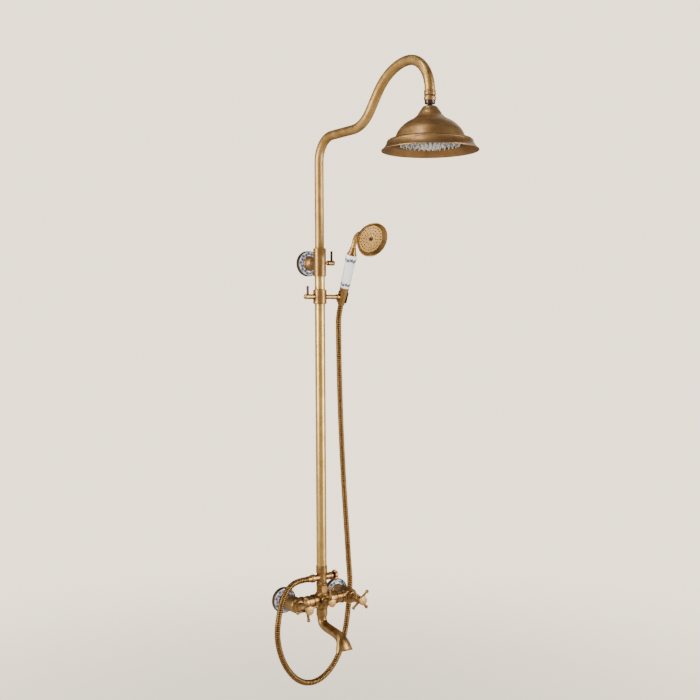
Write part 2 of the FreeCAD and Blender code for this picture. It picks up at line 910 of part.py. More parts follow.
def make_tee():
    port = dim("tee_port_height")
    trunk = turned("tee_trunk", [
        (6.5, 31),
        (10.4, 31),
        (10.4, 33),
        (8.5, 33),
        (8.5, 35.8),
        (12.9, 35.8),
        (13.3, 36.6),
        (13.3, 41.4),
        (12, 42.8),
        (12, 64),
        (13.4, 66),
        (13.4, 81.6),
        (12.8, 82.5),
        (dim("riser_radius"), 82.5),
        (dim("riser_radius"), 69.2),
        (6.5, 69.2),
    ], (0, COLUMN_Y, MIXER_Z))
    port_z = above_mixer(port)
    pieces = [
        trunk,
        rod("tee_port", 7.6, 16, (-5, COLUMN_Y, port_z), LEFT),
        rod("tee_valve_boss", 8.4, 17, (6, COLUMN_Y, port_z), RIGHT),
    ]
    tools = [
        rod("tee_port_bore", 4.6, 30, (0, COLUMN_Y, port_z), LEFT),
        rod("tee_valve_bore", 6.2, 30, (0, COLUMN_Y, port_z), RIGHT),
        rod("tee_core_bore", 6.5, 30, (0, COLUMN_Y, above_mixer(36))),
    ]
    node("tee_body", cut("tee_bored", join("tee_joined", pieces), tools))

    valve_spot = (0, COLUMN_Y, port_z)
    node("tee_bonnet", turned("tee_bonnet", [
        (3 + GAP, 12),
        (6.15, 12),
        (6.15, 23),
        (8.8, 23),
        (9.2, 23.6),
        (9.2, 26.4),
        (8.4, 27),
        (6.4, 27),
        (6.4, 31),
        (3 + GAP, 31),
    ], valve_spot, RIGHT))
    node("tee_spindle", turned("tee_spindle", [
        (0, 9),
        (2.9, 9),
        (2.9, 14),
        (3, 14),
        (3, 38),
        (0, 38),
    ], valve_spot, RIGHT))
    knob = turned("tee_knob_blank", [
        (0, 38),
        (3, 38),
        (3, 32),
        (7, 32),
        (12.6, 34.4, 9),
        (12.6, 39),
        (10.6, 41.4, 3.4),
        (4.4, 42.4, 20),
        (0, 43.2, dome(4.4, 0.8)),
    ], valve_spot, RIGHT)
    flutes = []
    for index in range(5):
        angle = math.radians(90 + 36 + 72 * index)
        flutes.append(rod(
            f"tee_flute_{index}", 4.4, 16,
            (30, COLUMN_Y + 14.4 * math.cos(angle), port_z + 14.4 * math.sin(angle)), RIGHT))
    node("tee_knob", cut("tee_knob_fluted", knob, flutes))

    nut = hexagon("tee_nut_blank", 14.2, 16.2, (0, COLUMN_Y, above_mixer(19)))
    bores = [
        rod("tee_nut_thread", 10.5, 14.1, (0, COLUMN_Y, above_mixer(19))),
        rod("tee_nut_lip", 8.6, 20, (0, COLUMN_Y, above_mixer(18))),
    ]
    node("tee_nut", cut("tee_nut_bored", nut, bores))
    node("hose_supply_nut", turned("hose_supply_nut", [
        (4.6, 21),
        (9.2, 21),
        (9.7, 21.6),
        (9.7, 29),
        (9.2, 29.6),
        (7.5, 30.2),
        (7.5, 40),
        (4.6, 40),
    ], valve_spot, LEFT))


# ---------------------------------------------------------------- mixer


def make_mixer():
    centre = (0, COLUMN_Y, MIXER_Z)
    bar_radius = dim("mixer_bar_radius")
    pieces = [
        rod("mixer_bar", bar_radius, dim("inlet_spacing"), (-HALF_INLETS, COLUMN_Y, MIXER_Z), RIGHT),
        turned("mixer_hub", [
            (0, -19.5),
            (13.6, -19.5),
            (17.4, -9, 17),
            (17.4, 9, 60),
            (13.6, 18.8, 17),
            (0, 18.8),
        ], centre),
        rod("mixer_top_thread", 10.4, 14, (0, COLUMN_Y, above_mixer(16))),
        rod("mixer_outlet_thread", 10.6, 14, (0, COLUMN_Y, above_mixer(-30.4))),
        turned("mixer_diverter_boss", [
            (0, 52),
            (13, 52),
            (13, 74),
            (12, 77, 4),
            (0, 77),
        ], (0, 0, above_mixer(1.5)), ROOM),
    ]
    bands = ((19, 27, 16.4), (38, 41, 15.4), (54, 58, 16.0))
    for side, direction in (("left", LEFT), ("right", RIGHT)):
        for index, (start, end, radius) in enumerate(bands):
            sign = -1 if side == "left" else 1
            spot = (sign * start, COLUMN_Y, MIXER_Z)
            pieces.append(rod(f"mixer_band_{side}_{index}", radius, end - start, spot, direction))
    tools = [
        rod("mixer_bar_bore", 8, dim("inlet_spacing"), (-HALF_INLETS, COLUMN_Y, MIXER_Z), RIGHT),
        rod("mixer_riser_bore", 7, 70, (0, COLUMN_Y, above_mixer(-35))),
        rod("mixer_diverter_bore", 9.5, 40, (0, -50, above_mixer(1.5)), ROOM),
    ]
    for side, across in (("hot", -HALF_INLETS), ("cold", HALF_INLETS)):
        pieces.append(turned(f"mixer_barrel_{side}", [
            (0, 32.4),
            (12.4, 32.4),
            (12.4, 34.2),
            (9.9, 34.2),
            (9.9, 38),
            (15.4, 38),
            (dim("barrel_radius"), 42, 4.6),
            (dim("barrel_radius"), 66),
            (14.2, 74, 10),
            (0, 74),
        ], (across, 0, MIXER_Z), ROOM))
        tools.append(rod(f"mixer_valve_bore_{side}", 11, 30, (across, -50, MIXER_Z), ROOM))
        tools.append(rod(f"mixer_inlet_bore_{side}", 7, 30, (across, -30, MIXER_Z), ROOM))
    node("mixer_body", cut("mixer_bored", join("mixer_joined", pieces), tools))


def make_inlets():
    cups = []
    rings = []
    unions = []
    nuts = []
    washers = []
    thread = dim("inlet_thread_radius")
    for side, across in (("hot", -HALF_INLETS), ("cold", HALF_INLETS)):
        spot = (across, 0, MIXER_Z)
        cups.append(rosette_cup(f"{side}_cup", 12.3, spot))
        rings.append(porcelain_ring(f"{side}_ring", spot))
        unions.append(turned(f"{side}_union", [
            (7, -dim("inlet_thread_length")),
            (thread, -dim("inlet_thread_length")),
            (thread, 0),
            (12.1, 0),
            (12.1, 7),
            (17.2, 7),
            (17.2, 14),
            (15.6, 16.4, 3),
            (13.1, 16.8),
            (13.1, 30.2),
            (7, 30.2),
        ], spot, ROOM))
        blank = hexagon(f"{side}_nut_blank", 18.6, 19.6, (across, -18, MIXER_Z), ROOM)
        bores = [
            rod(f"{side}_nut_thread", 13.2, 16.4, (across, -18, MIXER_Z), ROOM),
            rod(f"{side}_nut_lip", 10, 24, (across, -16, MIXER_Z), ROOM),
        ]
        crown = turned(f"{side}_nut_crown", [
            (0, 10),
            (16, 10),
            (18.8, 20.6),
            (18.8, 35),
            (15.8, 40),
            (0, 40),
        ], spot, ROOM)
        rounded = doc.addObject("Part::Common", f"{side}_nut_rounded")
        rounded.Base = blank
        rounded.Tool = crown
        nuts.append(cut(f"{side}_nut", rounded, bores))
        washers.append(turned(f"{side}_washer", [
            (7.4, 30.3),
            (12, 30.3),
            (12, 32.3),
            (7.4, 32.3),
        ], spot, ROOM))
    node("inlet_rosettes", join("inlet_rosettes", cups))
    node("inlet_porcelain_rings", join("inlet_porcelain_rings", rings))
    node("inlet_unions", join("inlet_unions", unions))
    node("inlet_union_nuts", join("inlet_union_nuts", nuts))
    washers.append(turned("riser_washer", [
        (7, 30.1),
        (10, 30.1),
        (10, 30.9),
        (7, 30.9),
    ], (0, COLUMN_Y, MIXER_Z)))
    node("sealing_washers", join("sealing_washers", washers))


def cross_handle(name, spot, turn):
    """Four tapered arms with ball ends round a waisted hub."""
    hub = turned(f"{name}_hub", [
        (dim("valve_stem_radius"), 99),
        (8.6, 99),
        (8.6, 101),
        (7, 103.4),
        (8, 107, -5),
        (8, 113, 20),
        (6.6, 117, 8),
        (2.6, 117),
        (2.6, 108),
        (dim("valve_stem_radius"), 108),
    ], spot, ROOM)
    pieces = [hub]
    for index in range(4):
        angle = math.radians(turn + 90 * index)
        outward = FreeCAD.Vector(math.cos(angle), 0, math.sin(angle))
        pieces.append(arm_with_ball(f"{name}_arm_{index}", spot, outward, dim("handle_height"),
                                    dim("handle_arm"), 3.7, 2.7, 4.4))
    return join(name, pieces)


def arm_with_ball(name, spot, outward, height, length, foot_radius, tip_radius, ball_radius):
    root = 6
    start = (spot[0] + outward.x * root, spot[1] - height, spot[2] + outward.z * root)
    tip = (spot[0] + length * outward.x, spot[1] - height, spot[2] + length * outward.z)
    limb = taper(f"{name}_limb", foot_radius, tip_radius, length - root, start, outward)
    knob = ball(f"{name}_ball", ball_radius, tip)
    return join(f"{name}_joined", [limb, knob])


def handle_cap(name, radius, base, spot):
    return turned(name, [
        (0, base - 8),
        (2.5, base - 8),
        (2.5, base),
        (radius - 2.4, base),
        (radius, base + 2.2, 2.8),
        (radius, base + 4.6),
        (radius - 1.6, base + 6.4, 2),
        (0, base + 7, dome(radius - 1.6, 0.6)),
    ], spot, ROOM)


def make_valves():
    stem = dim("valve_stem_radius")
    bonnets = []
    for side, across, turn in (("hot", -HALF_INLETS, 8), ("cold", HALF_INLETS, 41)):
        spot = (across, 0, MIXER_Z)
        bonnets.append(turned(f"{side}_bonnet", [
            (stem + GAP, 60),
            (10.95, 60),
            (10.95, 74),
            (13.2, 74),
            (13.8, 74.8),
            (13.8, 78.4),
            (12.6, 79.6),
            (10, 80.6),
            (9.6, 88),
            (10.6, 90),
            (10.6, 92.4),
            (9, 94),
            (8, 98.6),
            (stem + GAP, 98.6),
        ], spot, ROOM))
        node(f"{side}_spindle", turned(f"{side}_spindle", [
            (0, 56),
            (9.4, 56),
            (9.4, 59.6),
            (stem, 59.6),
            (stem, 108),
            (0, 108),
        ], spot, ROOM))
        node(f"{side}_handle", cross_handle(f"{side}_handle", spot, turn))
        node(f"{side}_cap", handle_cap(f"{side}_cap", 11, lift(117), spot))
    spot = (0, 0, above_mixer(1.5))
    bonnets.append(turned("diverter_bonnet", [
        (3.5 + GAP, 64),
        (9.45, 64),
        (9.45, 77),
        (10.8, 77),
        (11.2, 77.6),
        (11.2, 80.4),
        (9.4, 81.4),
        (8.4, 85.6),
        (3.5 + GAP, 85.6),
    ], spot, ROOM))
    node("valve_bonnets", join("valve_bonnets", bonnets))
    node("diverter_spindle", turned("diverter_spindle", [
        (0, 60),
        (8, 60),
        (8, 63.6),
        (3.5, 63.6),
        (3.5, 90),
        (0, 90),
    ], spot, ROOM))
    hub = turned("diverter_hub", [
        (3.5, 86),
        (7.6, 86),
        (7, 88),
        (7, 96, 40),
        (6, 98),
        (2.6, 98),
        (2.6, 90),
        (3.5, 90),
    ], spot, ROOM)
    arm = arm_with_ball("diverter_arm", spot, UP, dim("diverter_height"), dim("diverter_arm"), 3.3, 2.3, 4.4)
    node("diverter_lever", join("diverter_lever", [hub, arm]))
    node("diverter_cap", handle_cap("diverter_cap", 9.8, lift(98), spot))


# ---------------------------------------------------------------- bath spout


def spout_section(name, forward, height, tilt, half_width, half_depth):
    """Oval section whose normal leans forward from straight down by tilt degrees."""
    oval = doc.addObject("Part::Ellipse", name)
    oval.MajorRadius = half_width
    oval.MinorRadius = half_depth
    lean = FreeCAD.Rotation(RIGHT, 180 - tilt)
    place(oval, (0, COLUMN_Y - forward, above_mixer(height)), lean)
    return oval


def spout_loft(name, inset, overshoot):
    radius = dim("spout_radius").number
    sections = [
        (0, -37.9 + overshoot, 0, radius, radius),
        (0.4, -46, 6, radius, radius),
        (7, -56.5, 46, radius, radius),
        (24, -62, 78, radius, radius),
        (50, -65.4, 80, 11.6, 10.9),
        (74, -70.4, 68, 13, 10.6),
        (88.4, -80.6, 38, 16.6, 9.6),
        (97, -99.6, 20, 22.4, 8),
    ]
    loft = doc.addObject("Part::Loft", name)
    loft.Sections = [
        spout_section(f"{name}_section_{index}", forward, height, tilt, wide - inset, deep - inset)
        for index, (forward, height, tilt, wide, deep) in enumerate(sections)
    ]
    loft.Solid = True
    return loft


def make_spout():
    centre = (0, COLUMN_Y, MIXER_Z)
    node("spout_nut", turned("spout_nut", [
        (10.7, -19.8),
        (12.6, -19.8),
        (13.3, -20.6),
        (13.3, -35.6),
        (12.4, -37.4, -3),
        (9.6, -37.4),
        (9.6, -33.2),
        (10.9, -33.2),
        (10.9, -30.6),
        (10.7, -30.6),
    ], centre))
    tail = turned("spout_tail", [
        (7, -31),
        (10.6, -31),
        (10.6, -33),
        (9.54, -33),
        (9.54, -38),
        (11.9, -37.9),
        (11.9, -39.6),
        (7, -39.6),
    ], centre)
    outer = spout_loft("spout_outer", 0, 0)
    inner = spout_loft("spout_inner", dim("spout_wall").number, 1)
    throat = rod("spout_throat", 7, 12, (0, COLUMN_Y, above_mixer(-42)))
    node("spout", cut("spout_hollow", join("spout_joined", [tail, outer]), [inner, throat]))


# ---------------------------------------------------------------- hose


def make_hose():
    """Metal shower hose from the tee's port, round below the mixer and up to the hand shower.
    Its centreline is straight runs joined by tangent arcs."""
    start_z = above_mixer(dim("tee_port_height")).number
    column_y = COLUMN_Y.number
    end = [lift(value).number for value in tilted(0, -19)]
    last_bend = [lift(value).number for value in tilted(0, -49)]
    route = [
        (-40, column_y, start_z),
        (-67, column_y, start_z),
        (-92.4, -62, -758.2),
        (-118.5, -74.5, -778),
        (-136.5, -85.5, -814),
        (-141, -83.5, -856),
        (-132, -76, -893),
        (-117.5, -69.5, -928),
        (-96, -64.5, -961),
        (-67.5, -60.8, -988),
        (-33, -57, -1000.5),
        (2.5, -52.5, -996),
        (33, -48, -977),
        (58, -42.5, -950),
        (76, -36, -916),
        (90, -29.5, -877),
        (99.5, -24.7, -832),
        (105.5, -22.8, -785),
        (100.5, -23.8, -735),
        (94.5, -26, -665),
        (85, -28.2, -553),
        (77.7, -29.8, -440),
        (73, -31, -340),
        (70.4, -32, -265),
        (68.6, -33, -205),
        (67.2, -34.4, -157),
        last_bend,
        end,
    ]
    points = [FreeCAD.Vector(*point) for point in route]
    runs = [points[index + 1] - points[index] for index in range(len(points) - 1)]
    edges = []
    bends = []
    here = points[0]
    for index in range(1, len(points) - 1):
        before = runs[index - 1]
        after = runs[index]
        turn = before.getAngle(after)
        reach = 0.45 * min(before.Length, after.Length)
        radius = reach / math.tan(turn / 2)
        bends.append(radius)
        entry = points[index] - before.normalize() * reach
        leave = points[index] + FreeCAD.Vector(after).normalize() * reach
        inward = (entry + leave) * 0.5 - points[index]
        to_arc = radius / math.cos(turn / 2) - radius
        middle = points[index] + inward.normalize() * to_arc
        edges.append(Part.LineSegment(here, entry).toShape())
        edges.append(Part.Arc(entry, middle, leave).toShape())
        here = leave
    edges.append(Part.LineSegment(here, points[-1]).toShape())
    line = Part.Wire(edges)
    mouth = Part.Wire([Part.Circle(points[0], LEFT, dim("hose_radius").number).toShape()])
    hose = doc.addObject("Part::Feature", "shower_hose")
    hose.Shape = line.makePipeShell([mouth], True, True)
    node("shower_hose", hose)
    print("hose length", round(line.Length, 1), "smallest bend radius", round(min(bends), 1))


make_bracket()
clamp_lever("bracket_lever", 11.1, 22.5, 42.6, lift(33.7), 30, AXIS_SPOT, RIGHT, 1)
make_riser()
make_telescope()
make_arm()
make_ball_joint()
make_head()
make_slider()
SLIDER_SPOT = (0, COLUMN_Y, dim("slider_height"))
clamp_lever("slider_lever", 13.5, 16.3, 44.2, lift(34), 27, SLIDER_SPOT, LEFT, -1)
make_handset()
make_tee()
make_mixer()
make_inlets()
make_valves()
make_spout()
make_hose()
doc.recompute()

faults = []
for obj in doc.Objects:
    if "Invalid" in obj.State or "Error" in obj.State:
        faults.append(f"{obj.Label} is {obj.State}")
for piece in nodes:
    if piece.Shape.isNull() or not piece.Shape.isValid() or not piece.Shape.Solids:
        faults.append(f"{piece.Label} has no valid shape")
if faults:
    raise SystemExit("\n".join(faults))

os.makedirs("parts", exist_ok=True)
for piece in nodes:
    piece.Shape.exportStep(f"parts/{piece.Label}.step")
    box = piece.Shape.BoundBox
    print(f"{piece.Label:24s} solids {len(piece.Shape.Solids):3d} volume {piece.Shape.Volume:10.0f}"
          f"  X {box.XMin:.1f} {box.XMax:.1f}  Y {box.YMin:.1f} {box.YMax:.1f}"
          f"  Z {box.ZMin:.1f} {box.ZMax:.1f}")
print(len(nodes), "nodes")
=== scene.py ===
import math
import random
from collections import namedtuple

import bmesh
import bpy
import numpy as np
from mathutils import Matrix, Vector


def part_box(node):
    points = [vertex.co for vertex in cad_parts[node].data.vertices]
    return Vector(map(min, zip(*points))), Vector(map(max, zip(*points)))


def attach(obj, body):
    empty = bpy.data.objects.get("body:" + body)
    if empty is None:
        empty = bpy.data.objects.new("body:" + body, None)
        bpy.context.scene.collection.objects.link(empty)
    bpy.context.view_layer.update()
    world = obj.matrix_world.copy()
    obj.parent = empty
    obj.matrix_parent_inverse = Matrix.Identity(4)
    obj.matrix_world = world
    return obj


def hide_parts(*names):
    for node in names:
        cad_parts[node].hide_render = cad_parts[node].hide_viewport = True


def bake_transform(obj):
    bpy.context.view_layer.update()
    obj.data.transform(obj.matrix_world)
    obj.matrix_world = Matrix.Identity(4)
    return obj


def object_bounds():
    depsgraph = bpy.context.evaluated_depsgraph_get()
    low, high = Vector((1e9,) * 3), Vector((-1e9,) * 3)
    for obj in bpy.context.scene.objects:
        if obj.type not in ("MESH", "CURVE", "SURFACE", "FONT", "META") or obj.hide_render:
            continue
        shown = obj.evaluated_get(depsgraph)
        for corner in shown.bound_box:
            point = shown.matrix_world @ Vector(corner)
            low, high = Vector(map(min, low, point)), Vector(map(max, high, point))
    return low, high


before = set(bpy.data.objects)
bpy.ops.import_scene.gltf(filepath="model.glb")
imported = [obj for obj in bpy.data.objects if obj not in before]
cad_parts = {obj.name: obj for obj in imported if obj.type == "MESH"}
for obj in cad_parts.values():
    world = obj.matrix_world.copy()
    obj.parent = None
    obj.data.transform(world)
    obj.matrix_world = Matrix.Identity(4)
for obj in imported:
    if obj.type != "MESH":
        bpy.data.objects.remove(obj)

# Looks of a rainfall shower column in aged brass and painted porcelain. Everything is in
# metres: the wall is the plane Y = 0, the room is on the -Y side and +Z is up.

CAD_LOW, CAD_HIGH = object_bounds()
draw = random.Random(41)
MM = 0.001
TURN = 2 * math.pi
ROUND_SEGMENTS = 96
NOZZLE_SEGMENTS = 12

# ---------------------------------------------------------------- places read from the frame


def middle(node):
    low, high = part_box(node)
    return (low + high) / 2


X_AXIS = Vector((1, 0, 0))
Y_AXIS = Vector((0, 1, 0))
Z_AXIS = Vector((0, 0, 1))
COLUMN = Vector((0, middle("riser_tube").y, 0))
MIXER = Vector((0, COLUMN.y, middle("inlet_unions").z))
INLET_X = middle("cold_cap").x
DIVERTER = Vector((0, 0, middle("diverter_cap").z))
TEE_PORT = Vector((0, COLUMN.y, middle("tee_bonnet").z))
HEAD = Vector((0, middle("head_bell").y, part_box("head_bell")[0].z))
SLIDER = Vector((0, COLUMN.y, middle("slider_collar").z))
CRADLE = Vector((middle("handset_face_plate").x, COLUMN.y, SLIDER.z))
HANDSET_TILT = math.radians(22)
FACE_RISE = 166.5 * MM      # from the cradle's pivot, along the handle
ALONG_HANDLE = Vector((0, -math.sin(HANDSET_TILT), math.cos(HANDSET_TILT)))
OUT_OF_FACE = Vector((0, -math.cos(HANDSET_TILT), -math.sin(HANDSET_TILT)))
FACE = CRADLE + ALONG_HANDLE * FACE_RISE

# ---------------------------------------------------------------- camera

CAMERA_PLACE = (-1.3535, -2.1543, -0.1355)
CAMERA_HEADING = math.radians(34.45)
CAMERA_PITCH = math.radians(-1.65)
CAMERA_ROLL = math.radians(-0.32)
CAMERA_LENS = 54
CAMERA_SENSOR = 36
TO_CAMERA = Vector((-math.sin(CAMERA_HEADING), -math.cos(CAMERA_HEADING), 0))
RIGHT_OF_CAMERA = Vector((math.cos(CAMERA_HEADING), -math.sin(CAMERA_HEADING), 0))


def make_camera():
    """The photograph's viewpoint: a little below the bracket, 34 degrees round to the left."""
    forward = Vector((
        math.sin(CAMERA_HEADING) * math.cos(CAMERA_PITCH),
        math.cos(CAMERA_HEADING) * math.cos(CAMERA_PITCH),
        math.sin(CAMERA_PITCH),
    ))
    level_up = RIGHT_OF_CAMERA.cross(forward)
    right = RIGHT_OF_CAMERA * math.cos(CAMERA_ROLL) + level_up * math.sin(CAMERA_ROLL)
    up = level_up * math.cos(CAMERA_ROLL) - RIGHT_OF_CAMERA * math.sin(CAMERA_ROLL)
    data = bpy.data.cameras.new("camera")
    data.lens = CAMERA_LENS
    data.sensor_width = CAMERA_SENSOR
    camera = bpy.data.objects.new("camera", data)
    bpy.context.collection.objects.link(camera)
    placed = camera.matrix_world.copy()
    for row in range(3):
        placed[row][0] = right[row]
        placed[row][1] = up[row]
        placed[row][2] = -forward[row]
    placed.translation = CAMERA_PLACE
    camera.matrix_world = placed
    bpy.context.scene.camera = camera


make_camera()

# ---------------------------------------------------------------- meshes


def finished(name, builder):
    """The bmesh as a smooth-shaded object."""
    bmesh.ops.recalc_face_normals(builder, faces=builder.faces)
    mesh = bpy.data.meshes.new(name)
    builder.to_mesh(mesh)
    builder.free()
    mesh.shade_smooth()
    piece = bpy.data.objects.new(name, mesh)
    bpy.context.collection.objects.link(piece)
    return piece


def bridge(builder, rings, segments):
    """Faces between each ring of vertices and the next. A ring of one vertex is a centre."""
    for lower, upper in zip(rings, rings[1:]):
        for step in range(segments):
            following = (step + 1) % segments
            if len(lower) == 1:
                builder.faces.new((lower[0], upper[step], upper[following]))
            elif len(upper) == 1:
                builder.faces.new((lower[step], lower[following], upper[0]))
            else:
                builder.faces.new(
                    (lower[step], lower[following], upper[following], upper[step]))


def spin(builder, origin, axis, outline, segments):
    """Adds a lathe-turned form: the outline of (radius, height) in mm, about axis from origin."""
    side = axis.orthogonal().normalized()
    other = axis.cross(side)
    rings = []
    for radius, height in outline:
        foot = origin + axis * height * MM
        ring = []
        for step in range(segments if radius else 1):
            angle = TURN * step / segments
            outward = side * math.cos(angle) + other * math.sin(angle)
            ring.append(builder.verts.new(foot + outward * radius * MM))
        rings.append(ring)
    bridge(builder, rings, segments)


# ---------------------------------------------------------------- shower hose

HOSE_ROUTE = (
    (-0.04, -0.056, -0.7505),
    (-0.067, -0.056, -0.7505),
    (-0.0924, -0.062, -0.7582),
    (-0.1185, -0.0745, -0.778),
    (-0.1365, -0.0855, -0.814),
    (-0.141, -0.0835, -0.856),
    (-0.132, -0.076, -0.893),
    (-0.1175, -0.0695, -0.928),
    (-0.096, -0.0645, -0.961),
    (-0.0675, -0.0608, -0.988),
    (-0.033, -0.057, -1.0005),
    (0.0025, -0.0525, -0.996),
    (0.033, -0.048, -0.977),
    (0.058, -0.0425, -0.95),
    (0.076, -0.036, -0.916),
    (0.09, -0.0295, -0.877),
    (0.0995, -0.0247, -0.832),
    (0.1055, -0.0228, -0.785),
    (0.1005, -0.0238, -0.735),
    (0.0945, -0.026, -0.665),
    (0.085, -0.0282, -0.553),
    (0.0777, -0.0298, -0.44),
    (0.073, -0.031, -0.34),
    (0.0704, -0.032, -0.265),
    (0.0686, -0.033, -0.205),
    (0.0672, -0.0344, -0.157),
    (0.065, -0.03764, -0.12603),
    (0.065, -0.04888, -0.09822),
)
HOSE_PITCH = 4.6 * MM
RINGS_PER_PITCH = 8
HOSE_SEGMENTS = 22
HOSE_CREST = 7.0 * MM
HOSE_GROOVE = 5.6 * MM
HANDSET_STRETCH = 88 * MM
CRADLE_STRETCH = 150 * MM
SLIDER_STRETCH = 180 * MM
SLIDE_LEAN = Vector((3.5, 0, 1)).normalized()       # the slant from the loop's start onto which its far end is projected


def read_route(points):
    """The points of the route's own smooth line, read from its NURBS spline."""
    curve = bpy.data.curves.new("hose_route", "CURVE")
    curve.dimensions = "3D"
    spline = curve.splines.new("NURBS")
    spline.points.add(len(points) - 1)
    for control, spot in zip(spline.points, points):
        control.co = (*spot, 1)
    spline.order_u = 3
    spline.use_endpoint_u = True
    spline.resolution_u = 48
    holder = bpy.data.objects.new("hose_route", curve)
    bpy.context.collection.objects.link(holder)
    bpy.context.view_layer.update()
    line = bpy.data.meshes.new_from_object(holder)
    spots = np.array([vertex.co for vertex in line.vertices])
    bpy.data.objects.remove(holder)
    bpy.data.meshes.remove(line)
    return spots


def hose_line():
    """Stations along the hose, an eighth of a rib apart: their distances from the tee, their
    places and two directions across the hose at each."""
    spots = read_route(HOSE_ROUTE)
    steps = np.linalg.norm(np.diff(spots, axis=0), axis=1)
    travelled = np.concatenate([[0], np.cumsum(steps)])
    count = int(round(travelled[-1] / HOSE_PITCH * RINGS_PER_PITCH))
    along = np.linspace(0, travelled[-1], count + 1)
    centres = np.stack(
        [np.interp(along, travelled, spots[:, axis]) for axis in range(3)], axis=1)
    heading = np.gradient(centres, axis=0)
    heading /= np.linalg.norm(heading, axis=1)[:, None]
    across = np.zeros_like(centres)
    carried = np.array([0.0, 1.0, 0.0])
    for index, ahead in enumerate(heading):
        carried = carried - ahead * carried.dot(ahead)
        carried /= np.linalg.norm(carried)
        across[index] = carried
    return along, centres, across, np.cross(heading, across)


def rib_profile(phase):
    """Height of the wound strip across one turn: 0 in the groove and 1 on the crest."""
    return np.sin(np.pi * phase) ** 0.6


def hose_stretch(name, line, first, last):
    """One stretch of the ribbed hose, closed at both ends, and the points that it follows."""
    along, centres, across, beside = (part[first:last + 1] for part in line)
    angles = np.arange(HOSE_SEGMENTS) * TURN / HOSE_SEGMENTS
    phase = (along[:, None] / HOSE_PITCH - angles[None, :] / TURN) % 1
    crest = rib_profile(phase)
    radius = HOSE_GROOVE + (HOSE_CREST - HOSE_GROOVE) * crest
    around = (across[:, None, :] * np.cos(angles)[None, :, None]
              + beside[:, None, :] * np.sin(angles)[None, :, None])
    spots = (centres[:, None, :] + around * radius[:, :, None]).reshape(-1, 3)
    faces = [tuple(range(HOSE_SEGMENTS))[::-1]]
    for ring in range(len(along) - 1):
        start = ring * HOSE_SEGMENTS
        for step in range(HOSE_SEGMENTS):
            following = (step + 1) % HOSE_SEGMENTS
            faces.append((
                start + step,
                start + following,
                start + HOSE_SEGMENTS + following,
                start + HOSE_SEGMENTS + step,
            ))
    end = (len(along) - 1) * HOSE_SEGMENTS
    faces.append(tuple(range(end, end + HOSE_SEGMENTS)))
    mesh = bpy.data.meshes.new(name)
    mesh.from_pydata(spots.tolist(), [], faces)
    mesh.shade_smooth()
    mesh.attributes.new("crest", "FLOAT", "POINT").data.foreach_set("value", crest.ravel())
    distance = np.repeat(along, HOSE_SEGMENTS)
    mesh.attributes.new("along", "FLOAT", "POINT").data.foreach_set("value", distance)
    piece = bpy.data.objects.new(name, mesh)
    bpy.context.collection.objects.link(piece)
    return piece, centres


def make_hose():
    """The hose in five stretches. The first, from the tee, is attached to the column, and the
    others are cut at set lengths back from the hand shower, by its holder's joints. The loop is
    the slack for the slider's travel."""
    line = hose_line()
    along, middles = line[:2]
    leftmost = int(np.argmin(middles[:, 0]))
    cradle_end = along[-1] - HANDSET_STRETCH
    slider_end = cradle_end - CRADLE_STRETCH
    loop_end = slider_end - SLIDER_STRETCH
    ends = (along[leftmost], loop_end, slider_end, cradle_end, along[-1])
    names = ("hose_from_tee", "hose_loop", "hose_at_slider", "hose_at_cradle", "hose_at_handset")
    pieces = []
    first = 0
    for index, (name, end) in enumerate(zip(names, ends)):
        last = min(int(np.searchsorted(along, end - 1e-9)), len(along) - 1)
        piece, centres = hose_stretch(name, line, first, last)
        if name == "hose_from_tee":
            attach(piece, "column")
        else:
            start, finish = Vector(centres[0]), Vector(centres[-1])
            if name == "hose_loop":
                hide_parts("shower_hose")
                finish = start + SLIDE_LEAN * (finish - start).dot(SLIDE_LEAN)
            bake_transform(piece)
        pieces.append(piece)
        first = last
    return pieces


hose_pieces = make_hose()

# ---------------------------------------------------------------- node materials


